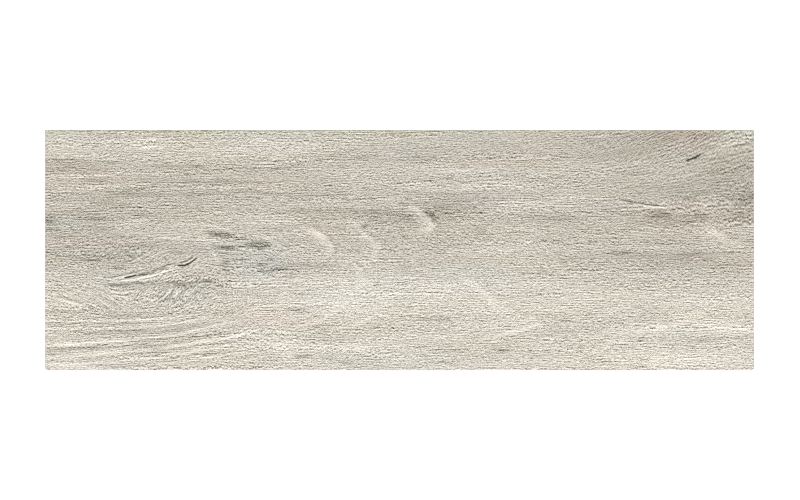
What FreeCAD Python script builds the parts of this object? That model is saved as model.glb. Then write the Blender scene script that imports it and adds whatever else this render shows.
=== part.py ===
import FreeCAD
import Part
import Sketcher
import os
from FreeCAD import Vector

# A wood look porcelain plank tile: one dry-pressed, fired and ground slab that lies face up.
# X runs along the plank and its grain, Y across it, and Z is the face's normal.
# The origin is the middle of the back, on the plane that the adhesive bed or the floor touches.
#
# From the face down, the edge has a narrow ground arris, an upright ground band where the
# grout joint is, and a sloping foot that the press die leaves at the back.
# The back has a plain band all round it, and inside that a waffle of shallow drafted cells.
# The ribs between the cells are the bed plane, and the cells are the key for the adhesive.

# Driving dimensions in millimetres, and one angle in degrees
SIZES = (
    ("face_length", 600.0, "face, along the grain"),
    ("face_width", 203.0, "face, across the grain"),
    ("thickness", 9.0, "face to the bed plane"),
    ("arris", 0.6, "ground bevel round the face, each way"),
    ("foot_height", 2.4, "height of the sloping foot"),
    ("foot_inset", 1.0, "how far the foot slopes in"),
    ("back_band", 9.0, "plain band round the waffle, from the foot's edge"),
    ("cell_pitch", 24.0, "wanted spacing of the cells, which is rounded to fill the back"),
    ("rib_width", 3.0, "flat top of a rib between two cells"),
    ("cell_depth", 0.8, "depth of a cell"),
    ("cell_draft", 35.0, "slope of a cell's wall from upright"),
)

# The waffle as expressions on the sheet: how far it reaches from the origin each way, an even
# count of cells, so that two ribs cross at the origin, the spacing that fills the reach with
# half a rib more at both ends, and how far the drafted walls come in by the cell's floor
REACH_ALONG = "(Sizes.face_length / 2 - Sizes.foot_inset - Sizes.back_band)"
REACH_ACROSS = "(Sizes.face_width / 2 - Sizes.foot_inset - Sizes.back_band)"
COUNT_ALONG = f"(2 * round(({REACH_ALONG} + Sizes.rib_width / 2) / Sizes.cell_pitch))"
COUNT_ACROSS = f"(2 * round(({REACH_ACROSS} + Sizes.rib_width / 2) / Sizes.cell_pitch))"
PITCH_ALONG = f"((2 * {REACH_ALONG} + Sizes.rib_width) / {COUNT_ALONG})"
PITCH_ACROSS = f"((2 * {REACH_ACROSS} + Sizes.rib_width) / {COUNT_ACROSS})"
DRAFT_INSET = "(Sizes.cell_depth * tan(Sizes.cell_draft))"

# How a constraint numbers the sketch's origin and the two ends of a line
ORIGIN_POINT = (-1, 1)
START, END = 1, 2

# Two heights closer than this are the same, in millimetres
SAME_HEIGHT = 1e-6


def add_sizes(doc):
    """Puts the driving dimensions in the sheet, one row each, with an alias to call them by."""
    sheet = doc.addObject("Spreadsheet::Sheet", "Sizes")
    for row, (alias, value, meaning) in enumerate(SIZES, start=1):
        sheet.set(f"A{row}", meaning)
        sheet.set(f"B{row}", str(value))
        sheet.setAlias(f"B{row}", alias)
    doc.recompute()
    return sheet


def origin_item(body, role):
    """The body's own origin plane or axis with this role."""
    return next(item for item in body.Origin.OriginFeatures if item.Role == role)


def bind(sketch, kind, line, size, name):
    """Ties this line's length to the size of that name on the sheet."""
    index = sketch.addConstraint(Sketcher.Constraint(kind, line, START, line, END, size))
    sketch.renameConstraint(index, name)
    sketch.setExpression(f"Constraints.{name}", f"Sizes.{name}")


def add_outline(body, sizes):
    """The rectangle of the face, centred on the origin, at the height where the foot ends."""
    sketch = body.newObject("Sketcher::SketchObject", "face_outline")
    sketch.AttachmentSupport = [(origin_item(body, "XY_Plane"), "")]
    sketch.MapMode = "FlatFace"
    sketch.setExpression("AttachmentOffset.Base.z", "Sizes.foot_height")
    x, y = sizes.face_length / 2, sizes.face_width / 2
    corners = [Vector(-x, -y), Vector(x, -y), Vector(x, y), Vector(-x, y)]
    ends = corners[1:] + corners[:1]
    lines = [sketch.addGeometry(Part.LineSegment(a, b)) for a, b in zip(corners, ends)]
    front, right, back, left = lines
    for line, following in zip(lines, (right, back, left, front)):
        sketch.addConstraint(Sketcher.Constraint("Coincident", line, END, following, START))
    for kind, pair in (("Horizontal", (front, back)), ("Vertical", (right, left))):
        for line in pair:
            sketch.addConstraint(Sketcher.Constraint(kind, line))
    sketch.addConstraint(Sketcher.Constraint("Symmetric", front, START, back, START, *ORIGIN_POINT))
    bind(sketch, "DistanceX", front, 2 * x, "face_length")
    bind(sketch, "DistanceY", right, 2 * y, "face_width")
    return sketch


def add_ground_band(body, outline):
    """The slab above the foot, whose upright sides the grinding wheel trues."""
    band = body.newObject("PartDesign::Pad", "ground_band")
    band.Profile = outline
    band.setExpression("Length", "Sizes.thickness - Sizes.foot_height")
    return band


def add_foot(body, outline):
    """The slab below that, whose sides slope in to the back as they left the die."""
    foot = body.newObject("PartDesign::Pad", "pressed_foot")
    foot.Profile = outline
    foot.Reversed = True
    foot.setExpression("Length", "Sizes.foot_height")
    foot.setExpression("TaperAngle", "-atan(Sizes.foot_inset / Sizes.foot_height)")
    return foot


def level_edges(shape, height):
    """Names of the edges that lie level at this height."""
    return [
        f"Edge{number}"
        for number, edge in enumerate(shape.Edges, start=1)
        if all(abs(vertex.Z - height) < SAME_HEIGHT for vertex in edge.Vertexes)
    ]


def add_arris(body, slab, height):
    """The fine bevel that the grinding wheel leaves round the face."""
    arris = body.newObject("PartDesign::Chamfer", "face_arris")
    arris.Base = (slab, level_edges(slab.Shape, height))
    arris.setExpression("Size", "Sizes.arris")
    return arris


def add_cell(body):
    """The shallow cell nearest the front left corner, with drafted walls so that the die lets go.

    It stands on the XZ plane, so its own Y is its height and its own Z points to the front.
    """
    cell = body.newObject("PartDesign::SubtractiveWedge", "cell")
    cell.AttachmentSupport = [(origin_item(body, "XZ_Plane"), "")]
    cell.MapMode = "FlatFace"
    left, right = f"-{REACH_ALONG}", f"{PITCH_ALONG} - Sizes.rib_width - {REACH_ALONG}"
    back, front = f"{REACH_ACROSS} - {PITCH_ACROSS} + Sizes.rib_width", REACH_ACROSS
    spans = {
        "Ymin": "0", "Ymax": "Sizes.cell_depth",
        "Xmin": left, "Xmax": right,
        "X2min": f"{left} + {DRAFT_INSET}", "X2max": f"{right} - {DRAFT_INSET}",
        "Zmin": back, "Zmax": front,
        "Z2min": f"{back} + {DRAFT_INSET}", "Z2max": f"{front} - {DRAFT_INSET}",
    }
    for side, expression in spans.items():
        cell.setExpression(side, expression)
    return cell


def add_waffle(body, cell):
    """The cell repeated along and across the back."""
    waffle = body.newObject("PartDesign::LinearPattern", "waffle")
    waffle.Originals = [cell]
    waffle.Direction = (origin_item(body, "X_Axis"), [""])
    waffle.Direction2 = (origin_item(body, "Y_Axis"), [""])
    waffle.Mode = waffle.Mode2 = "Extent"
    waffle.setExpression("Occurrences", COUNT_ALONG)
    waffle.setExpression("Occurrences2", COUNT_ACROSS)
    waffle.setExpression("Length", f"({COUNT_ALONG} - 1) * {PITCH_ALONG}")
    waffle.setExpression("Length2", f"({COUNT_ACROSS} - 1) * {PITCH_ACROSS}")
    body.Tip = waffle
    return waffle


def add_tile(doc, sizes):
    """The whole tile, which is one fired piece."""
    body = doc.addObject("PartDesign::Body", "plank_tile")
    body.Label = "plank_tile"
    outline = add_outline(body, sizes)
    add_ground_band(body, outline)
    slab = add_foot(body, outline)
    doc.recompute()
    add_arris(body, slab, sizes.thickness)
    add_waffle(body, add_cell(body))
    doc.recompute()
    return body


def check(doc, bodies):
    """Stops the build if an object failed, or a piece isn't one valid solid."""
    for item in doc.Objects:
        if "Invalid" in item.State or "Error" in item.State:
            raise RuntimeError(f"{item.Label} failed: {item.State}")
    for body in bodies:
        if body.Shape.isNull() or not body.Shape.isValid() or len(body.Shape.Solids) != 1:
            raise RuntimeError(f"{body.Label} isn't one valid solid")


def main():
    doc = FreeCAD.newDocument("wood_look_plank_tile")
    sizes = add_sizes(doc)
    tile = add_tile(doc, sizes)
    check(doc, [tile])
    os.makedirs("parts", exist_ok=True)
    tile.Shape.exportStep(f"parts/{tile.Label}.step")
    box = tile.Shape.BoundBox
    print(f"{tile.Label}: {box.XLength:.1f} x {box.YLength:.1f} x {box.ZLength:.1f} mm")


main()
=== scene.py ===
"""The wood look porcelain plank tile, dressed and lit for a picture from straight above.

The tile is one fired piece, so it is one mesh: a printed face in low relief, a ground arris and
edge, a pressed foot, and a waffled back. The print's large figure is worked out for each vertex
of the face from listed strokes and patches, and its fine fibres are nodes.
"""
import logging
import math
from dataclasses import dataclass
from enum import Enum

import bmesh
import bpy
import numpy as np
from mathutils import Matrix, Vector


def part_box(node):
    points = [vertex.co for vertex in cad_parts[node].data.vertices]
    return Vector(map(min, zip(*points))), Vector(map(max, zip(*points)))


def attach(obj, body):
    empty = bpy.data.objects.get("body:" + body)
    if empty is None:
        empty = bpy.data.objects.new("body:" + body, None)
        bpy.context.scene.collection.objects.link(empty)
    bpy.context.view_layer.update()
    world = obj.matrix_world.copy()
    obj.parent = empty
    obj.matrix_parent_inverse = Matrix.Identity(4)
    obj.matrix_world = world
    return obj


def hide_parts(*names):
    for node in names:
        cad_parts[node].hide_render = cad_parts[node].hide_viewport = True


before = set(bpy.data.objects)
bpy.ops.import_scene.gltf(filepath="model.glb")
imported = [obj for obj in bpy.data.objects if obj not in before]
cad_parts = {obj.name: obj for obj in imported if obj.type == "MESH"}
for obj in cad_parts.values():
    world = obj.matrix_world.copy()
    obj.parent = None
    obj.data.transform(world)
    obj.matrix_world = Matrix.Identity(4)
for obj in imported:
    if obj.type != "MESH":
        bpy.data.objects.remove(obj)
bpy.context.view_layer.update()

MM = 0.001
NODE = "plank_tile"

log = logging.getLogger("plank_tile")


class Slot(Enum):
    """The finishes of the tile's mesh, in the order of its material slots."""

    PRINT = 0
    GROUND_EDGE = 1
    PRESSED_FOOT = 2
    BACK = 3


# The print's figure, in millimetres from the middle of the face


def smooth_step(low: float, high: float, value: np.ndarray) -> np.ndarray:
    """Rises smoothly from 0 at low to 1 at high."""
    part = np.clip((value - low) / (high - low), 0.0, 1.0)
    return part * part * (3.0 - 2.0 * part)


def ramp_up(start: float, softness: float, value: np.ndarray) -> np.ndarray:
    """Nearly 0 before start and nearly value - start after it, with a soft bend between."""
    return softness * np.logaddexp(0.0, (value - start) / softness)


@dataclass(frozen=True)
class Mottle:
    """Soft random variation of the print, longer along the grain than across it.

    Attributes:
        along: typical length of a patch, in millimetres.
        across: typical width of a patch, in millimetres.
        seed: picks one pattern out of many.
    """

    along: float
    across: float
    seed: int

    def corner(self, column: np.ndarray, row: np.ndarray) -> np.ndarray:
        """A repeatable random number from -1 to 1 for each whole column and row."""
        mixed = column.astype(np.int64) * 374761393 + row.astype(np.int64) * 668265263
        mixed = (mixed + self.seed * 974634777) & 0xFFFFFFFF
        mixed = ((mixed ^ (mixed >> 13)) * 1274126177) & 0xFFFFFFFF
        return ((mixed ^ (mixed >> 16)) & 0xFFFF) / 32767.5 - 1.0

    def at(self, x: np.ndarray, y: np.ndarray) -> np.ndarray:
        """The variation at these places, mostly between -1 and 1.

        Args:
            x: places along the grain, in millimetres.
            y: places across the grain, in millimetres.

        Returns:
            One value for each place.
        """
        u, v = x / self.along, y / self.across
        column, row = np.floor(u), np.floor(v)
        s, t = smooth_step(0.0, 1.0, u - column), smooth_step(0.0, 1.0, v - row)
        near = (1 - s) * self.corner(column, row) + s * self.corner(column + 1, row)
        far = (1 - s) * self.corner(column, row + 1) + s * self.corner(column + 1, row + 1)
        return (1 - t) * near + t * far


@dataclass(frozen=True)
class Patch:
    """A soft oval of the print that is lighter, darker, warmer or bluer than what is round it.

    Attributes:
        x: its middle along the tile, in millimetres.
        y: its middle across the tile, in millimetres.
        reach_x: how far it reaches along the tile.
        reach_y: how far it reaches across the tile.
        amount: its strength at the middle.
    """

    x: float
    y: float
    reach_x: float
    reach_y: float
    amount: float

    def at(self, x: np.ndarray, y: np.ndarray) -> np.ndarray:
        """The patch's strength at these places."""
        spread = ((x - self.x) / self.reach_x) ** 2 + ((y - self.y) / self.reach_y) ** 2
        return self.amount * np.exp(-spread)


@dataclass(frozen=True)
class Stroke:
    """A line of the print through a few points, soft across and tapered at both ends.

    Attributes:
        amount: its strength on the line, above 0 for pale and below 0 for dark.
        width: distance from the line at which it has faded, in millimetres.
        points: where it runs, in millimetres.
    """

    amount: float
    width: float
    points: tuple[tuple[float, float], ...]

    def at(self, x: np.ndarray, y: np.ndarray) -> np.ndarray:
        """The stroke's strength at these places."""
        ends = np.array(self.points)
        spans = np.hypot(*(ends[1:] - ends[:-1]).T)
        starts = np.concatenate(([0.0], np.cumsum(spans)))
        nearest = np.full_like(x, np.inf)
        place = np.zeros_like(x)
        for (x0, y0), (x1, y1), span, start in zip(ends[:-1], ends[1:], spans, starts):
            part = ((x - x0) * (x1 - x0) + (y - y0) * (y1 - y0)) / span ** 2
            part = np.clip(part, 0.0, 1.0)
            away = np.hypot(x - x0 - part * (x1 - x0), y - y0 - part * (y1 - y0))
            closer = away < nearest
            nearest = np.where(closer, away, nearest)
            place = np.where(closer, (start + part * span) / starts[-1], place)
        taper = np.sqrt(np.clip(4.0 * place * (1.0 - place), 0.0, 1.0))
        return self.amount * taper * np.exp(-(nearest / self.width) ** 2)


def summed(marks: tuple, x: np.ndarray, y: np.ndarray) -> np.ndarray:
    """The strength of all these strokes or patches together."""
    total = np.zeros_like(x)
    for mark in marks:
        total += mark.at(x, y)
    return total


@dataclass(frozen=True)
class Turn:
    """A place where the grain's lines turn away from level and back again.

    Attributes:
        x: its middle along the tile, in millimetres.
        y: its middle across the tile, in millimetres.
        slope: how much the lines rise to the right at the middle.
        reach_x: how far it reaches along the tile.
        reach_y: how far it reaches across the tile.
    """

    x: float
    y: float
    slope: float
    reach_x: float
    reach_y: float

    def at(self, x: np.ndarray, y: np.ndarray) -> np.ndarray:
        """How far the lines are lifted at these places, in millimetres."""
        s, t = (x - self.x) / self.reach_x, (y - self.y) / self.reach_y
        return self.slope * (x - self.x) * np.exp(-s * s - t * t)


TURNS = (
    Turn(-205, -16, 0.27, 42, 17),
    Turn(-209, -4, 0.22, 20, 9),
    Turn(-246, -43, -0.50, 16, 10),
    Turn(-165, -63, 0.20, 55, 20),
    Turn(-240, -75, 0.08, 50, 16),
    Turn(-293, 98, 0.45, 9, 5),
)


@dataclass(frozen=True)
class GrainFlow:
    """Which way the wood's lines run, as one value that stays the same along each line.

    It is the place across the tile, less what the turns, the knot, the rising grain of the top
    right corner and small bends lift or lower each line by.
    """

    knot: tuple[float, float] = (-195.0, -20.0)
    knot_reach: tuple[float, float] = (75.0, 22.0)
    push_above: float = 2.0
    push_below: float = 2.6
    rise: float = 0.40
    rise_start: float = 190.0
    rise_band: tuple[float, float] = (20.0, 74.0)

    def around_knot(self, x: np.ndarray, y: np.ndarray) -> np.ndarray:
        """How far each line is pushed away from the knot."""
        s, t = (x - self.knot[0]) / self.knot_reach[0], (y - self.knot[1]) / self.knot_reach[1]
        size = np.where(t > 0, self.push_above, self.push_below)
        return 1.65 * size * t * np.exp(-s * s - 0.5 * t * t)

    def line(self, x: np.ndarray, y: np.ndarray) -> np.ndarray:
        """The value that is the same along a line of the grain, in millimetres.

        Args:
            x: places along the tile.
            y: places across the tile.

        Returns:
            One value for each place, close to y where the grain is straight.
        """
        lift = self.rise * ramp_up(self.rise_start, 18.0, x)
        start = y
        for _ in range(14):
            low, high = self.rise_band
            start = y - lift * np.clip((start - low) / (high - low), 0.0, 1.0)
        bends = 1.5 * Mottle(95.0, 38.0, 3).at(x, y) + 0.4 * Mottle(30.0, 14.0, 4).at(x, y)
        return start - self.around_knot(x, y) - summed(TURNS, x, y) - bends


DARK_AREAS = (
    Patch(-215, 45, 70, 22, -0.034),
    Patch(-270, 15, 45, 28, -0.030),
    Patch(-150, 60, 70, 14, -0.022),
    Patch(-290, 72, 30, 7, -0.030),
    Patch(-230, -5, 30, 12, -0.026),
    Patch(-270, -50, 60, 9, -0.022),
    Patch(-235, -70, 70, 14, -0.032),
    Patch(-178, -34, 40, 8, -0.055),
    Patch(-288, -31, 22, 6, -0.030),
    Patch(-232, -31, 20, 4, -0.060),
    Patch(-150, -56, 30, 10, -0.015),
    Patch(-298, 25, 9, 5, -0.070),
    Patch(-126, 3, 26, 9, 0.030),
    Patch(-152, 8, 16, 9, 0.030),
    Patch(-147, -12, 8, 9, -0.035),
    Patch(-112, -8, 14, 7, -0.016),
    Patch(-75, -13, 28, 5, -0.015),
    Patch(-14, 29, 30, 6, -0.060),
    Patch(-78, 21, 22, 4, -0.045),
    Patch(-143, 15, 10, 3, -0.040),
    Patch(-165, 0, 12, 4, -0.040),
    Patch(-60, 76, 70, 5, -0.022),
    Patch(-65, -66, 34, 9, -0.026),
    Patch(8, 26, 12, 7, -0.055),
    Patch(33, 33, 14, 7, -0.090),
    Patch(58, 34, 22, 6, -0.045),
    Patch(70, 17, 8, 8, -0.030),
    Patch(40, 5, 30, 14, -0.012),
    Patch(120, 27, 40, 5, -0.030),
    Patch(150, 20, 60, 10, -0.012),
    Patch(112, -18, 18, 4, -0.020),
    Patch(232, 28, 40, 7, -0.050),
    Patch(235, 24, 60, 22, -0.020),
    Patch(232, -4, 52, 6, -0.026),
    Patch(262, -14, 50, 7, -0.030),
    Patch(190, -12, 60, 10, -0.014),
    Patch(252, 88, 70, 16, -0.062),
    Patch(285, 55, 45, 22, -0.060),
    Patch(298, 44, 12, 6, -0.050),
    Patch(296, 30, 20, 8, -0.040),
    Patch(225, 98, 30, 5, -0.050),
    Patch(170, 84, 60, 14, -0.026),
    Patch(60, 84, 70, 10, -0.018),
    Patch(20, 79, 20, 4, -0.025),
    Patch(28, -58, 44, 6, -0.022),
    Patch(40, -84, 40, 7, -0.026),
    Patch(128, -70, 26, 16, -0.016),
    Patch(120, -58, 20, 5, -0.020),
    Patch(255, -76, 30, 5, -0.030),
    Patch(215, -52, 20, 6, -0.018),
    Patch(-190, -94, 60, 6, -0.012),
    Patch(225, -27, 90, 5, -0.034),
    Patch(200, 76, 40, 6, -0.022),
    Patch(70, 41, 40, 6, -0.024),
    Patch(-205, -87, 40, 5, -0.016),
    Patch(-10, -66, 60, 8, -0.016),
    Patch(10, -26, 34, 5, -0.014),
    Patch(95, -78, 26, 4, -0.016),
    Patch(285, 27, 24, 8, -0.020),
    Patch(-206, 89, 12, 2.2, -0.030),
    Patch(228, 52, 90, 14, -0.020),
    Patch(285, 32, 28, 12, -0.014),
    Patch(-150, 9, 34, 4, -0.018),
    Patch(-225, -31, 56, 5, -0.020),
    Patch(200, -30, 28, 5, -0.016),
    Patch(75, 83, 26, 5, -0.014),
    Patch(-270, -32, 30, 4, -0.010),
    Patch(3.5, -9, 4.5, 8, -0.034),
    Patch(-8, 25, 22, 5, -0.014),
    Patch(215, -57, 14, 5, -0.016),
    Patch(-57.5, 9.5, 4, 3, -0.030),
    Patch(-8, 28, 30, 4, -0.022),
    Patch(46, 34, 16, 9, -0.020),
    Patch(269, 86, 8, 2.6, -0.045),
)

LIGHT_AREAS = (
    Patch(-150, 88, 150, 11, 0.026),
    Patch(-285, 88, 30, 6, 0.022),
    Patch(-118, 93, 14, 4, 0.040),
    Patch(-112, 23, 20, 6, 0.014),
    Patch(-185, 9, 22, 5, 0.018),
    Patch(-172, -3, 20, 8, 0.018),
    Patch(-228, 22, 18, 4, 0.020),
    Patch(-120, -24, 22, 6, 0.016),
    Patch(-292, -34, 22, 10, 0.016),
    Patch(-100, -70, 26, 18, 0.026),
    Patch(-42, -46, 30, 13, 0.045),
    Patch(-28, -12, 24, 14, 0.036),
    Patch(-60, -26, 20, 10, 0.024),
    Patch(-78, 0, 26, 10, 0.018),
    Patch(-100, -82, 12, 5, 0.040),
    Patch(-35, -82, 50, 5, 0.022),
    Patch(25, -30, 45, 12, 0.026),
    Patch(84, -46, 16, 8, 0.015),
    Patch(96, -64, 20, 5, 0.014),
    Patch(140, -48, 24, 5, 0.014),
    Patch(30, 53, 45, 4, 0.030),
    Patch(55, 67, 38, 5, 0.018),
    Patch(88, 55, 30, 5, 0.030),
    Patch(0, 62, 60, 8, 0.016),
    Patch(95, 38, 26, 6, 0.030),
    Patch(140, 44, 36, 6, 0.022),
    Patch(92, 0, 40, 22, 0.030),
    Patch(214, -66, 26, 5, 0.025),
    Patch(245, -57, 12, 5, 0.045),
    Patch(278, -66, 24, 5, 0.060),
    Patch(258, -93, 55, 7, 0.055),
    Patch(215, -97, 22, 5, 0.030),
    Patch(268, 14, 12, 8, 0.022),
    Patch(259, 40, 8, 7, 0.030),
    Patch(190, -45, 40, 9, 0.016),
    Patch(255, -42, 45, 8, 0.024),
    Patch(150, -70, 44, 10, 0.012),
    Patch(86, -14, 40, 7, 0.016),
    Patch(-80, -12, 28, 6, 0.020),
    Patch(-280, -96, 30, 5, 0.020),
    Patch(-200, -72, 34, 4, 0.014),
    Patch(-292, 78, 14, 3, 0.020),
    Patch(-34, 22, 5, 2.6, 0.050),
    Patch(265, 14, 7, 5, 0.028),
    Patch(-288, 89, 22, 12, 0.034),
    Patch(-75, 84, 34, 5, 0.022),
    Patch(0, -18, 420, 5, 0.018),
    Patch(-60, -44, 180, 5, 0.013),
    Patch(262, -69, 40, 6, 0.024),
    Patch(255, -92, 60, 7, 0.020),
    Patch(40, -94, 44, 5, 0.028),
    Patch(-100, -95, 24, 5, 0.018),
    Patch(105, 1, 90, 9, 0.016),
    Patch(-285, -55, 22, 5, 0.018),
    Patch(11, -3, 4, 12, 0.022),
    Patch(-67, 5, 8, 5, 0.020),
)

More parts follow.
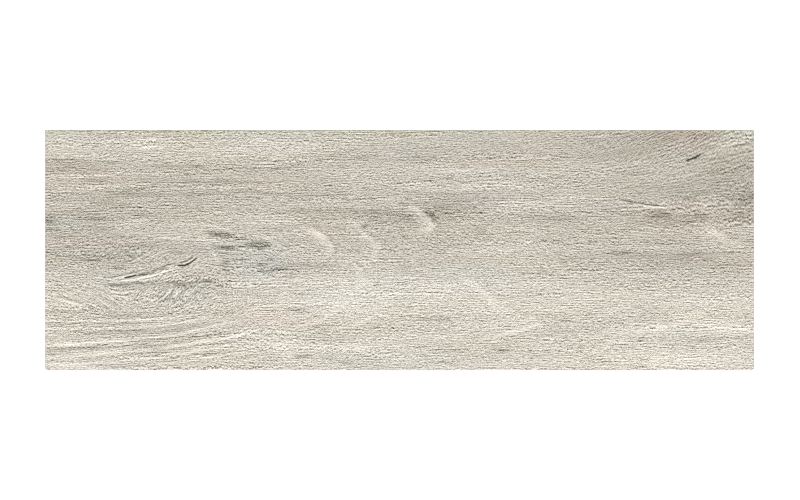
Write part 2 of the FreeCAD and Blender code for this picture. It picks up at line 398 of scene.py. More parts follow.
# Bands of the print's tone that run with the grain, from the back of the tile to the front
TONE_BANDS = (
    Stroke(0.060, 1.6, ((-262, 90.5), (-240, 92), (-205, 93))),
    Stroke(0.050, 1.4, ((-240, 86), (-215, 86.5), (-195, 87.5))),
    Stroke(0.050, 1.4, ((-128, 93), (-110, 93))),
    Stroke(0.040, 1.8, ((-185, 84), (-150, 85), (-100, 83), (-70, 84))),
    Stroke(0.045, 1.4, ((-304, 79.5), (-275, 80), (-245, 79))),
    Stroke(-0.110, 1.0, ((-304, 76.8), (-285, 76.2), (-262, 75.6))),
    Stroke(-0.070, 1.0, ((-304, 73.6), (-285, 73.4), (-230, 74))),
    Stroke(-0.080, 1.2, ((-304, 68.4), (-280, 68.6), (-248, 68))),
    Stroke(-0.090, 1.0, ((-210, 70.6), (-185, 71), (-160, 70))),
    Stroke(-0.060, 1.0, ((-160, 68.4), (-135, 69.4), (-95, 68.4))),
    Stroke(-0.060, 1.4, ((-75, 79.4), (-45, 78), (-15, 78.5))),
    Stroke(0.060, 1.2, ((-232, 65.4), (-205, 64), (-185, 63))),
    Stroke(0.045, 1.4, ((-205, 61), (-160, 61.4), (-105, 61.5))),
    Stroke(-0.090, 1.4, ((-274, 59.4), (-257, 59), (-243, 59.6))),
    Stroke(-0.060, 1.2, ((-215, 57.4), (-180, 58), (-140, 57), (-105, 57.5))),
    Stroke(0.070, 1.5, ((-292, 50.4), (-262, 52.4), (-240, 53.6), (-208, 55.4))),
    Stroke(0.050, 1.2, ((-196, 52.6), (-160, 52), (-120, 54), (-90, 53.5))),
    Stroke(-0.080, 2.2, ((-252, 46), (-225, 46.4), (-190, 45))),
    Stroke(-0.070, 1.4, ((-186, 48), (-168, 47.4), (-150, 48.6))),
    Stroke(-0.070, 1.4, ((-140, 49.8), (-122, 49.6), (-105, 48))),
    Stroke(-0.050, 1.4, ((-110, 45.8), (-75, 46), (-40, 46.5))),
    Stroke(0.045, 1.3, ((-240, 42), (-205, 43.4), (-182, 43.4))),
    Stroke(0.045, 1.6, ((-294, 36.6), (-280, 38), (-264, 38.4))),
    Stroke(-0.050, 1.6, ((-262, 40), (-240, 38.6), (-205, 39.4))),
    Stroke(-0.090, 1.3, ((-272, 26.6), (-258, 26.2), (-242, 26.8))),
    Stroke(-0.050, 1.3, ((-232, 30), (-218, 29.4), (-205, 30))),
    Stroke(0.030, 1.6, ((-238, 21.6), (-226, 23.4), (-212, 25.4))),
    Stroke(0.050, 1.4, ((-206, 20.4), (-182, 21), (-160, 20), (-140, 17))),
    Stroke(-0.060, 1.6, ((-262, 17.4), (-250, 17.6), (-238, 18.6))),
    Stroke(-0.080, 1.5, ((-296, 10.4), (-285, 10.8), (-272, 12))),
    Stroke(-0.070, 1.4, ((-292, 2.4), (-280, 2.8), (-266, 3))),
    Stroke(-0.050, 1.6, ((-236, 3), (-215, 3.4), (-195, 3))),
    Stroke(0.050, 1.4, ((-178, 7), (-160, 7.6), (-145, 7))),
    Stroke(-0.060, 1.2, ((-262, 10), (-240, 10.6), (-215, 11))),
    Stroke(0.060, 1.6, ((-120, 23.4), (-100, 24.4), (-82, 23))),
    Stroke(-0.060, 1.6, ((-112, 32), (-70, 32.6), (-35, 34), (0, 33.5))),
    Stroke(-0.050, 2.0, ((-130, 17), (-112, 17.6), (-95, 17))),
    Stroke(-0.060, 1.4, ((-108, -13), (-85, -13.4), (-55, -13))),
    Stroke(-0.070, 2.2, ((-212, -42), (-196, -41), (-182, -42.6))),
    Stroke(-0.080, 1.4, ((-250, -55.6), (-235, -55.4), (-216, -55))),
    Stroke(-0.050, 1.6, ((-160, -54.6), (-145, -52.6), (-130, -51))),
    Stroke(-0.070, 1.2, ((-304, -52), (-285, -52.4), (-262, -53))),
    Stroke(0.050, 1.6, ((-304, -46), (-285, -47.4), (-262, -49.4))),
    Stroke(-0.060, 1.4, ((-304, -62.2), (-270, -61.6), (-240, -61.6), (-205, -61.4))),
    Stroke(-0.080, 1.8, ((-268, -70.4), (-245, -70), (-228, -69.8), (-212, -68))),
    Stroke(-0.070, 1.4, ((-206, -69), (-190, -67.6), (-172, -64), (-158, -60.6))),
    Stroke(-0.080, 1.2, ((-232, -76.6), (-215, -76), (-196, -75.6), (-176, -72))),
    Stroke(-0.110, 1.2, ((-304, -83.4), (-285, -83.2), (-262, -82), (-244, -80))),
    Stroke(-0.070, 1.2, ((-222, -81.6), (-208, -81.4), (-196, -79))),
    Stroke(-0.060, 1.3, ((-190, -77), (-165, -73), (-150, -69.5))),
    Stroke(-0.060, 1.3, ((-238, -88), (-210, -87.4), (-190, -84.5))),
    Stroke(-0.050, 1.2, ((-304, -88.6), (-280, -88.4), (-255, -86))),
    Stroke(0.050, 1.6, ((-304, -80.4), (-285, -79.4), (-270, -78.6))),
    Stroke(0.060, 1.4, ((-304, -66.6), (-275, -66.4), (-240, -66.8))),
    Stroke(0.050, 1.4, ((-262, -92), (-235, -91.4), (-205, -92.5))),
    Stroke(-0.050, 1.4, ((-265, -96.6), (-240, -98.2), (-215, -97))),
    Stroke(-0.050, 1.2, ((-160, -89.4), (-130, -90), (-95, -88.6))),
    Stroke(-0.060, 1.4, ((-80, -65.6), (-68, -65.6), (-56, -64))),
    Stroke(-0.050, 1.4, ((-70, -74.4), (-50, -75), (-30, -73))),
    Stroke(0.070, 1.6, ((-108, -80.4), (-92, -81), (-60, -82.6), (-12, -83))),
    Stroke(-0.070, 1.2, ((12, -58), (28, -58.4), (46, -58.6))),
    Stroke(0.050, 1.4, ((48, -61), (70, -62.4), (104, -62))),
    Stroke(0.060, 1.3, ((5, -74), (35, -73), (62, -70.5))),
    Stroke(-0.060, 1.3, ((22, -84.6), (40, -84.4), (60, -84.8))),
    Stroke(0.050, 1.5, ((80, -94), (115, -94), (160, -95))),
    Stroke(-0.050, 1.4, ((120, -68), (150, -70), (178, -68))),
    Stroke(0.040, 1.4, ((108, -50), (132, -49.4), (160, -48))),
    Stroke(0.060, 1.4, ((196, -69), (212, -68.6), (228, -66), (240, -61))),
    Stroke(0.080, 1.5, ((250, -62), (268, -66), (304, -67))),
    Stroke(-0.060, 1.3, ((248, -74.6), (266, -75.2), (300, -74))),
    Stroke(-0.060, 1.3, ((186, -74), (200, -75), (214, -75))),
    Stroke(0.060, 1.5, ((232, -55.4), (245, -55.6), (258, -57.6))),
    Stroke(0.060, 1.6, ((0, 53.4), (25, 52.4), (50, 52), (78, 53.6), (105, 57.5))),
    Stroke(0.045, 1.0, ((22, 67.6), (45, 66.8), (66, 67))),
    Stroke(-0.050, 1.4, ((24, 43.4), (52, 42.6), (84, 43.6), (104, 46))),
    Stroke(-0.050, 1.6, ((5, 48), (40, 47), (75, 49), (100, 52))),
    Stroke(-0.060, 1.2, ((2, 79), (14, 78.4), (30, 78.6))),
    Stroke(0.050, 1.4, ((84, 40.4), (112, 40), (130, 37.6))),
    Stroke(0.050, 1.4, ((130, 45.6), (155, 44.6), (176, 43.4))),
    Stroke(-0.070, 1.4, ((106, 27.4), (125, 26.6), (152, 27.2))),
    Stroke(-0.050, 1.6, ((128, 34), (150, 33.6), (190, 33))),
    Stroke(-0.040, 2.0, ((200, 30), (212, 31.4), (232, 29.6), (246, 28.4))),
    Stroke(-0.050, 1.6, ((198, 24), (222, 24.6), (250, 23))),
    Stroke(-0.050, 2.2, ((246, 29), (256, 27.4), (264, 27))),
    Stroke(-0.050, 1.4, ((205, 19.6), (232, 21), (252, 18))),
    Stroke(-0.050, 1.6, ((200, 5), (225, 5.6), (250, 5))),
    Stroke(-0.040, 1.6, ((176, -3), (200, -4), (222, -3.4))),
    Stroke(-0.050, 1.6, ((228, -4.6), (240, -4.2), (258, -3), (272, -2.6))),
    Stroke(-0.070, 1.6, ((262, -13), (280, -12.4), (304, -12))),
    Stroke(-0.050, 1.4, ((182, -17), (205, -17), (235, -16))),
    Stroke(0.060, 1.4, ((186, -22), (198, -22.4), (212, -22))),
    Stroke(0.045, 1.4, ((256, 81.6), (270, 85), (284, 90), (304, 96))),
    Stroke(-0.040, 2.2, ((262, 75), (280, 76), (304, 79))),
    Stroke(-0.070, 1.8, ((255, 66), (272, 66), (304, 70))),
    Stroke(-0.060, 1.6, ((176, 66), (205, 65), (228, 66))),
    Stroke(-0.050, 1.6, ((180, 54), (215, 53.6), (245, 54))),
    Stroke(-0.070, 2.0, ((286, 43), (294, 44), (304, 44.6))),
    Stroke(-0.060, 1.6, ((226, 45), (245, 43.6), (262, 50))),
    Stroke(-0.055, 1.0, ((68, 32), (76, 35.5), (84, 41), (90, 45))),
    Stroke(-0.040, 0.8, ((30, 53.2), (55, 52.4), (80, 53.6), (95, 55.4))),
    Stroke(0.030, 0.8, ((44, 50.2), (58, 50.4), (72, 51))),
    Stroke(-0.032, 1.0, ((-60, 41.8), (-20, 41), (6, 40.4))),
    Stroke(-0.050, 1.1, ((-2, -13.2), (8, -13.4))),
    Stroke(-0.060, 0.9, ((166, 31.6), (177, 31), (187, 32.2), (202, 31))),
    Stroke(0.035, 1.2, ((92, 10), (110, 12), (128, 13))),
    Stroke(-0.030, 1.0, ((95, 47.6), (120, 46.2), (140, 46.6))),
    Stroke(0.040, 1.0, ((128, 39), (140, 38), (152, 39.2))),
    Stroke(-0.045, 1.2, ((228, 49), (250, 49), (285, 48.6))),
    Stroke(-0.050, 1.6, ((238, 24.6), (250, 23.8), (260, 22.6))),
    Stroke(-0.080, 0.7, ((-58, 35.4), (-40, 34.6), (-22, 32.4), (-5, 30.4), (11, 29.8))),
    Stroke(-0.070, 0.7, ((-84, -13.8), (-66, -14.2), (-50, -14.2))),
    Stroke(-0.070, 0.6, ((-28, -31), (-8, -32), (0, -33.4), (16, -34))),
)

# Pale growth rings that end in blunt tips, and the cream bands below the knot
PALE_RINGS = (
    Stroke(0.080, 2.0, ((-86, 20), (-77, 17.5), (-69, 13.5), (-62, 8), (-57, 4), (-60, -3), (-63, -8))),
    Stroke(0.045, 1.1, ((-90, 20.5), (-78, 18.4), (-70, 15), (-63, 10), (-58, 5), (-58.5, 0), (-62, -5))),
    Stroke(0.035, 3.0, ((-80, 17), (-68, 11), (-61.5, 4), (-61, -2))),
    Stroke(0.070, 2.0, ((-43, 25), (-37, 20.5), (-31, 14.5), (-25, 8.5), (-18, 4), (-14, 2))),
    Stroke(0.060, 2.2, ((-15, 3.5), (-21.5, 1), (-22.5, -4), (-26, -12))),
    Stroke(0.070, 0.7, ((-39, 22.5), (-31, 14.8), (-23, 7.2))),
    Stroke(0.035, 1.1, ((-39, 23), (-34.5, 16.5), (-27.5, 12), (-19, 6.5), (-15.5, 3), (-19, -3), (-26, -9))),
    Stroke(0.075, 0.8, ((-92, -31), (-89, -26.2), (-84, -25.2), (-79.5, -28), (-81, -33.4), (-88, -35))),
    Stroke(0.055, 2.0, ((-50, -11), (-40, -13), (-34, -18), (-31.5, -24), (-30.5, -28), (-36, -35), (-46, -42))),
    Stroke(0.040, 1.8, ((14, 13), (4, 6), (0, 0), (4, -7), (0, -14), (-8, -22), (-14, -30))),
    Stroke(0.050, 1.6, ((10, 31), (15, 27), (19, 22))),
    Stroke(0.115, 2.4, ((6, 36), (13, 34), (18, 30), (23, 24.5), (27, 20.5), (22, 17), (14, 14.5))),
    Stroke(0.070, 1.1, ((9, 36.4), (16, 34), (21, 30), (26, 25), (29.5, 20.5), (25, 16.5), (16, 13))),
    Stroke(0.060, 2.6, ((50, -23), (60, -27), (68, -35), (78, -42), (82, -49), (94, -53))),
    Stroke(0.030, 1.2, ((56, -23.5), (66, -29), (75, -38), (85, -45), (98, -52))),
    Stroke(0.045, 2.2, ((90, -52), (103, -58), (117, -62), (100, -68), (85, -71), (68, -75))),
    Stroke(0.070, 1.1, ((98, -53), (110, -58.5), (119, -62.5), (104, -68), (85, -72), (68, -76))),
    Stroke(0.022, 1.4, ((100, 57), (92, 50), (82, 42), (76, 34), (72, 25), (76, 16), (80, 8))),
    Stroke(0.030, 2.4, ((194, 9), (202, 12), (206, 16), (213, 18.5), (230, 18))),
    Stroke(0.050, 1.6, ((188, -66), (212, -64.5), (238, -63), (246, -57), (253, -50.5))),
    Stroke(0.050, 1.4, ((250, -50), (258, -55), (264, -59), (282, -61.5))),
    Stroke(0.060, 2.6, ((255, 20), (263, 16), (270, 12), (279, 6.5), (300, -1))),
    Stroke(0.022, 1.1, ((258, 21.5), (266, 17), (274, 12), (284, 7.5), (303, 1))),
    Stroke(0.060, 2.2, ((256, 42), (258, 36), (262, 30), (261, 23))),
    Stroke(0.080, 1.5, ((-50, -48), (-58, -53.5), (-64, -58), (-72, -62), (-92, -66))),
    Stroke(0.080, 1.5, ((-14, -52), (-24, -57), (-34, -62.5), (-44, -65.5), (-62, -68))),
    Stroke(0.180, 0.65, ((-304, -60.3), (-265, -60.1), (-240, -60.2), (-222, -58.9), (-205, -58.4),
                         (-186, -56.2), (-169, -54.4))),
    Stroke(0.140, 0.65, ((-251, -65.6), (-229, -66), (-207, -64.5), (-190, -62.5), (-174, -59.4),
                         (-158, -56))),
    Stroke(0.170, 0.65, ((-222, -74.6), (-205, -73.6), (-186, -71.5), (-167, -66.4), (-150, -62.4),
                         (-135, -60))),
    Stroke(0.180, 0.80, ((-304, -81.4), (-285, -80.5), (-265, -79), (-245, -77.2), (-226, -76),
                         (-214, -74.9))),
    Stroke(0.210, 0.75, ((-206, -84.2), (-186, -80.8), (-165, -77.6), (-145, -74.2), (-125, -69.6),
                         (-116, -66))),
    Stroke(0.150, 0.65, ((-304, -91), (-285, -90.4), (-265, -89.2), (-245, -88), (-225, -85.6),
                         (-208, -84))),
    Stroke(0.110, 0.60, ((-292, -88.6), (-265, -86.8), (-245, -85.9), (-225, -83.8))),
    Stroke(0.130, 0.70, ((-250, -95.4), (-225, -93), (-205, -91.4), (-186, -88.1), (-165, -84.3),
                         (-146, -81.6), (-126, -77.6))),
    Stroke(0.140, 0.70, ((-206, -97), (-186, -95.2), (-166, -91.6), (-146, -88.5), (-126, -86.4))),
    Stroke(0.120, 0.70, ((-304, -97), (-275, -96.8), (-247, -95.6))),
    Stroke(0.060, 0.90, ((-134, -53), (-126, -51), (-119, -48.6), (-108, -47))),
    Stroke(0.120, 0.90, ((-124, 11.5), (-113, 10.8), (-107, 8), (-101, 4), (-96, 0))),
)

# Thin shadows along the outer side of the rings and of the pale lines
RING_SHADOWS = (
    Stroke(-0.090, 1.0, ((-62, 14), (-56.5, 9), (-53.5, 4), (-54.5, -1), (-58, -6))),
    Stroke(-0.260, 0.7, ((-31.5, 18.2), (-29, 19.8), (-26.5, 22.2))),
    Stroke(-0.055, 1.2, ((-34, 20.5), (-28, 15), (-21, 9.5))),
    Stroke(-0.055, 2.6, ((23, 32.5), (27, 28.5), (31.5, 23.5))),
    Stroke(-0.090, 0.6, ((252, -49.4), (260, -53.2), (268, -57.6))),
    Stroke(-0.110, 0.6, ((-94, -31), (-92.6, -26), (-88.5, -23))),
    Stroke(-0.110, 0.5, ((-92.5, -34.2), (-87, -37.2), (-80.5, -36.2))),
    Stroke(-0.090, 0.5, ((-89, -30.5), (-86, -28.4), (-83, -30.4), (-86, -32.8))),
    Stroke(-0.100, 0.5, ((-61, -28.2), (-57, -26.4), (-54, -28.6), (-56, -31.6), (-60.5, -31))),
    Stroke(-0.070, 1.0, ((-24, 14), (-15, 8.5), (-11.5, 4), (-15, -2))),
    Stroke(-0.125, 1.1, ((21, 34.5), (24.5, 31), (29.5, 26.5), (33, 20.5), (29, 15))),
    Stroke(-0.060, 1.0, ((60, -23), (72, -31), (82, -39), (92, -47), (104, -54))),
    Stroke(-0.060, 1.1, ((262, 24), (270, 18), (278, 13), (290, 8))),
    Stroke(-0.080, 0.60, ((-304, -62.4), (-272, -62.2), (-240, -62.8), (-222, -62.2), (-200, -61.6))),
    Stroke(-0.090, 0.60, ((-304, -58.4), (-265, -57.9), (-245, -57.8), (-225, -57.3), (-205, -56.1),
                          (-186, -54.8), (-166, -53))),
    Stroke(-0.080, 0.60, ((-251, -68.4), (-229, -68.6), (-207, -66.8), (-190, -64.4), (-172, -61))),
    Stroke(-0.110, 0.60, ((-228, -72.4), (-205, -69.8), (-186, -68.4), (-166, -64.2), (-150, -61))),
    Stroke(-0.120, 0.85, ((-304, -85.2), (-285, -84.2), (-265, -83.2), (-245, -82.4), (-226, -80.6),
                          (-208, -78))),
    Stroke(-0.120, 0.70, ((-206, -86.3), (-186, -82.7), (-166, -80.2), (-146, -79.1), (-126, -75.6))),
    Stroke(-0.110, 0.65, ((-192, -74.4), (-166, -72.8), (-146, -70.1), (-130, -65.6))),
    Stroke(-0.080, 0.60, ((-194, -78.8), (-178, -78))),
    Stroke(-0.100, 0.65, ((-304, -94.4), (-280, -93.9), (-262, -92.4), (-245, -89.9), (-225, -88.3),
                          (-212, -87.2))),
    Stroke(-0.110, 0.65, ((-202, -92), (-186, -90.4), (-166, -88), (-146, -86.3), (-126, -84.7))),
)

# The knot: a pale lens with a crack in it, and the dark and pale lines round it
KNOT_LINES = (
    Stroke(0.180, 1.10, ((-246, -26.0), (-241, -26.5), (-231, -25.8), (-222, -24.5), (-215, -22.9), (-208, -21.5))),
    Stroke(0.170, 0.75, ((-219, -23.6), (-210, -22.0), (-203, -19.8), (-197, -17.8), (-190, -15.4), (-185, -14.2))),
    Stroke(0.060, 0.80, ((-213, -24.0), (-203, -21.3), (-195, -18.6))),
    Stroke(0.200, 0.55, ((-188, -14.9), (-181, -13.5), (-176, -10.9), (-169, -6.6))),
    Stroke(0.240, 0.65, ((-243, -23.9), (-237, -23.2), (-232, -22.2), (-227, -21.0), (-222, -19.6), (-217, -18.4))),
    Stroke(0.260, 0.50, ((-184, -12.0), (-178.5, -10.3), (-173, -6.9))),
    Stroke(0.180, 0.60, ((-201, -15.2), (-194, -13.6), (-187, -11.6))),
    Stroke(0.100, 0.70, ((-243, -19.6), (-232, -17.8), (-224, -16.2))),
    Stroke(-0.360, 0.50, ((-245, -24.0), (-240, -22.4), (-233, -20.9), (-227, -19.3), (-219, -17.7))),
    Stroke(-0.240, 0.45, ((-240, -25.0), (-236.5, -25.2), (-233, -24.8))),
    Stroke(-0.380, 0.50, ((-227, -22.2), (-221, -21.6), (-217, -20.8), (-213, -20.2), (-207, -19.0))),
    Stroke(-0.240, 0.50, ((-225, -20.4), (-218, -19.8), (-211, -18.4))),
    Stroke(-0.280, 0.55, ((-214, -18.4), (-208, -17.6), (-203, -16.4), (-197, -14.8))),
    Stroke(-0.340, 0.50, ((-203, -14.6), (-198, -13.3), (-194, -12.1), (-188, -9.9))),
    Stroke(-0.260, 0.45, ((-203, -16.4), (-199, -14.9), (-194, -14.2))),
    Stroke(-0.300, 0.50, ((-194, -13.0), (-190, -12.2), (-185, -12.6))),
    Stroke(-0.620, 0.46, ((-186.5, -11.0), (-182, -9.8), (-178, -8.0), (-173.5, -4.9))),
    Stroke(-0.280, 1.00, ((-249, -29.0), (-240, -29.6), (-229, -29.0), (-222, -28.2), (-214, -28.0))),
    Stroke(-0.110, 1.80, ((-214, -28.8), (-200, -29.4), (-185, -30.4), (-170, -30.4), (-156, -29.6))),
    Stroke(-0.300, 0.50, ((-200, -27.6), (-194, -27.4), (-186, -28.6), (-178, -27.2), (-168, -27.6))),
    Stroke(-0.300, 0.50, ((-190, -29.8), (-186, -30.4), (-181, -29.8))),
    Stroke(-0.520, 0.50, ((-168, -27.4), (-162, -26.6), (-155, -26.4))),
    Stroke(-0.300, 0.50, ((-168, -24.8), (-164, -25.4), (-160, -25.2))),
    Stroke(-0.340, 0.60, ((-156, -30.4), (-148, -29.8))),
    Stroke(-0.300, 0.50, ((-218, -36.2), (-214, -33.2), (-210, -29.8))),
    Stroke(0.200, 0.50, ((-220, -37.6), (-214, -34.4), (-208, -30.9))),
    Stroke(0.190, 0.45, ((-200, -40.5), (-195, -36), (-191.5, -31))),
    Stroke(0.160, 0.45, ((-192, -41), (-188, -36), (-184, -31.5))),
    Stroke(0.190, 0.45, ((-190, -42), (-189, -37), (-187.5, -32))),
    Stroke(0.190, 0.45, ((-183, -39), (-176, -35), (-169, -29.5))),
    Stroke(-0.200, 0.45, ((-206, -38.5), (-201, -34), (-198, -30.5))),
    Stroke(-0.200, 0.45, ((-188, -40.5), (-184, -36), (-180, -32.5))),
    Stroke(-0.180, 0.45, ((-197, -43), (-193, -38.5), (-190.5, -33.5))),
    Stroke(-0.160, 0.45, ((-179, -40), (-174, -36.5), (-170, -33))),
    Stroke(0.180, 0.50, ((-233, -12.2), (-226, -9.8), (-219, -6.6), (-209, -1.4))),
    Stroke(0.170, 0.50, ((-217, -9.4), (-211, -6.4), (-205, -3.4), (-196, 1.2))),
    Stroke(0.140, 0.50, ((-210, -9.4), (-203, -6.0), (-194, -2.4))),
    Stroke(0.190, 0.50, ((-226, -3.2), (-221.5, -6.8), (-217, -11))),
    Stroke(-0.160, 0.60, ((-231, -4), (-224, -6.4))),
    Stroke(-0.160, 0.50, ((-232, -10.4), (-225, -7.8), (-218, -4.4))),
    Stroke(-0.140, 0.50, ((-206, -6.6), (-199, -3.0), (-192, -0.4))),
    Stroke(-0.240, 0.60, ((-243, -15.2), (-237, -15.0), (-233, -15.4))),
    Stroke(-0.130, 1.20, ((-196, -1.8), (-184, -2.4), (-170, -2.0))),
    Stroke(0.200, 0.50, ((-162, 1.5), (-157, -3), (-154, -8), (-152.5, -13))),
    Stroke(-0.160, 0.60, ((-157, -0.8), (-148, -2.4), (-141, -2))),
    Stroke(0.180, 0.60, ((-251, -31.5), (-244, -35.3), (-237, -37), (-227, -38.3))),
    Stroke(-0.180, 0.55, ((-253, -34), (-244, -37), (-236, -38.4), (-219, -39.3))),
    Stroke(-0.190, 0.50, ((-255, -37.5), (-245, -44), (-235, -50))),
    Stroke(0.170, 0.50, ((-257, -40.5), (-247, -47), (-238, -52))),
    Stroke(-0.170, 0.50, ((-263, -39.5), (-252, -46), (-242, -52.5))),
    Stroke(-0.160, 0.50, ((-229, -44), (-222, -48), (-215, -50))),
    Stroke(-0.190, 0.80, ((-292, -38.6), (-280, -41.8), (-267, -45.5))),
    Stroke(0.190, 0.80, ((-291, -40.8), (-279, -44), (-265, -48))),
    Stroke(-0.300, 0.60, ((-270, -8), (-262, -8.5), (-253, -8.4))),
    Stroke(-0.220, 0.45, ((-207, 11.8), (-196, 11.7), (-186, 12))),
    Stroke(0.200, 0.45, ((-207, 10.6), (-194, 10.7), (-183, 10.8))),
    Stroke(-0.090, 3.20, ((-147.4, -7), (-147, -19))),
    Stroke(-0.400, 0.44, ((185, 43.1), (192, 41.6), (200.7, 39.8), (212, 38.2), (220, 37.6), (228, 36.9))),
    Stroke(-0.260, 0.40, ((191, 41.7), (194, 41.3), (197, 41))),
    Stroke(-0.240, 0.40, ((213, 38), (221, 37.5))),
    Stroke(0.150, 0.42, ((183, 42.2), (190, 40.9), (200, 38.8), (209, 37.5), (213, 36.5), (221, 36.3), (229, 35.9))),
    Stroke(0.100, 0.50, ((229, 34), (236, 32.4), (243, 31.6))),
    Stroke(-0.160, 0.60, ((216, 34.6), (223, 34.4), (229, 34.2))),
    Stroke(-0.130, 0.70, ((210, 28.6), (220, 28.4), (229, 28))),
)

PALE_LINES = (
    Stroke(0.110, 1.2, ((-304, 62.4), (-262, 62), (-252, 63), (-238, 65.8), (-229, 64.5), (-221, 61.5))),
    Stroke(0.070, 0.8, ((-238, 41.5), (-215, 44.5), (-197, 45), (-180, 43.5))),
    Stroke(0.060, 1.6, ((-224, 93.3), (-205, 94), (-188, 92))),
    Stroke(0.060, 1.8, ((-222, 86), (-205, 88), (-192, 86.5))),
    Stroke(0.050, 0.9, ((-186, 21), (-168, 21.5), (-155, 19.5), (-139, 17.5))),
    Stroke(0.070, 0.7, ((-206, 11), (-184, 11))),
    Stroke(0.050, 1.5, ((-172, 8), (-150, 7))),
    Stroke(0.050, 0.9, ((-162, 81.5), (-130, 80), (-103, 79))),
    Stroke(0.050, 1.0, ((38, 67), (55, 67), (65, 69), (92, 69.5))),
    Stroke(0.050, 1.0, ((-122, 71.3), (-97, 70.3))),
    Stroke(0.050, 1.0, ((-202, 73), (-180, 73), (-166, 75))),
    Stroke(0.060, 0.8, ((185, 2), (225, 2.3), (265, 2.2), (292, 1.5))),
    Stroke(0.160, 0.8, ((202, 38.2), (212, 37), (222, 35.9), (231, 36))),
    Stroke(0.060, 2.2, ((258, 81), (270, 86), (284, 91), (300, 97))),
    Stroke(0.050, 1.2, ((211, -58.5), (226, -59))),
)

DARK_LINES = (
    Stroke(-0.520, 0.45, ((-164, 14.2), (-154, 13.4), (-144, 14.4))),
    Stroke(-0.420, 0.45, ((-160, 12.2), (-150, 12), (-141, 12.6))),
    Stroke(-0.240, 0.45, ((-166, 16), (-156, 15.6), (-148, 16))),
    Stroke(-0.340, 0.45, ((-151, 10.6), (-140, 10.8), (-129, 10.4))),
    Stroke(-0.300, 0.45, ((-140, 8.6), (-132, 9.4), (-126, 8.6))),
    Stroke(-0.620, 0.50, ((-137, 2.6), (-127, 3.4), (-117, 2.8), (-107, 4.4))),
    Stroke(-0.560, 0.45, ((-131, 5.2), (-122, 5.6), (-112, 4.6))),
    Stroke(-0.420, 0.45, ((-126, 7.4), (-119, 7.4), (-110, 5.8))),
    Stroke(-0.320, 0.45, ((-124, 1.2), (-117, 0.6), (-109, 2.4))),
    Stroke(-0.520, 0.45, ((-158, 3.2), (-148, 2.8), (-138, 3.2))),
    Stroke(-0.400, 0.45, ((-156, 1.6), (-146, 1.2), (-138, 1.6))),
    Stroke(-0.460, 0.45, ((-141, -8), (-134, -8.4), (-127, -8))),
    Stroke(-0.360, 0.45, ((-121, -12.6), (-112, -12.8))),
    Stroke(-0.340, 0.45, ((-111, -8), (-104, -8))),
    Stroke(-0.620, 0.45, ((-121, -18), (-108, -17.2), (-93, -15.8))),
    Stroke(-0.160, 0.45, ((-110, -15.4), (-101, -15), (-92, -14.4))),
    Stroke(-0.120, 0.9, ((-99, -22.5), (-85, -22.5))),
    Stroke(-0.240, 0.8, ((-304, 24.5), (-291, 24))),
    Stroke(-0.140, 1.0, ((-304, 28), (-291, 28))),
    Stroke(-0.120, 1.0, ((-304, 17), (-284, 17.5))),
    Stroke(-0.200, 0.8, ((-99, -49.3), (-88, -50.5), (-77, -50.5))),
    Stroke(-0.120, 0.8, ((-225, 29.5), (-214, 29.5))),
    Stroke(-0.090, 0.8, ((-266, 26.5), (-250, 26), (-237, 26))),
    Stroke(-0.140, 0.9, ((-236, 49.5), (-225, 51.5), (-211, 52.2))),
    Stroke(-0.200, 0.9, ((-93, 71), (-85, 70.5))),
    Stroke(-0.100, 0.9, ((-112, 69.2), (-94, 68.5))),
    Stroke(-0.110, 1.0, ((-34, 18.8), (-30, 20), (-26, 22))),
    Stroke(-0.180, 0.9, ((-1, 39), (9, 38.7))),
    Stroke(-0.110, 1.0, ((10, 39.5), (27, 39.8))),
    Stroke(-0.130, 1.6, ((20, 32.5), (26, 30), (31, 26.5))),
    Stroke(-0.100, 0.9, ((242, 96), (250, 98), (260, 101))),
    Stroke(-0.090, 0.9, ((248, 93), (256, 95), (264, 98))),
    Stroke(-0.070, 0.9, ((222, 92.5), (229, 94), (237, 97))),
    Stroke(-0.180, 0.6, ((206, 32.4), (218, 31.6), (232, 31))),
    Stroke(-0.240, 0.6, ((208, 28.6), (230, 28.2))),
    Stroke(-0.110, 1.1, ((239, 43), (251, 42.5))),
    Stroke(-0.160, 0.7, ((249, 30.4), (262, 29.6))),
    Stroke(-0.050, 2.6, ((256, 24), (261, 31))),
    Stroke(-0.110, 0.8, ((231, -7), (249, -7.5))),
    Stroke(-0.080, 0.8, ((236, -3), (263, -3))),
    Stroke(-0.110, 1.0, ((254, -8), (270, -7.5))),
    Stroke(-0.110, 1.0, ((173, -2), (197, -2))),
    Stroke(-0.110, 0.8, ((100, -19.8), (119, -20.6))),
    Stroke(-0.110, 0.9, ((120, -19.8), (133, -20))),
    Stroke(-0.110, 0.8, ((18, -57.6), (30, -58.6), (46, -59))),
    Stroke(-0.300, 0.5, ((87, -76.5), (97, -77))),
    Stroke(-0.200, 0.8, ((82, -84.8), (93, -85))),
    Stroke(-0.280, 0.8, ((-89, -90.2), (-72, -90.3))),
    Stroke(-0.140, 0.8, ((-116, -93), (-96, -93.5))),
    Stroke(-0.260, 0.9, ((-126, -98.7), (-117, -98.7))),
    Stroke(-0.140, 0.8, ((-67, -91.5), (-57, -92))),
    Stroke(-0.110, 0.8, ((-49, -96), (-39, -96.2))),
    Stroke(-0.110, 0.9, ((29, -95.5), (51, -95))),
    Stroke(-0.230, 0.9, ((199, -98.7), (208, -98.7))),
    Stroke(-0.110, 0.9, ((199, -75.8), (211, -75.5))),
    Stroke(-0.110, 0.9, ((164, -76.5), (173, -76.5))),
    Stroke(-0.140, 0.9, ((134, -59.5), (146, -59.8))),
    Stroke(-0.110, 0.9, ((239, -51.5), (249, -52))),
    Stroke(-0.110, 0.9, ((254, -75), (269, -75))),
    Stroke(-0.100, 0.8, ((-57, 84), (-34, 84))),
)

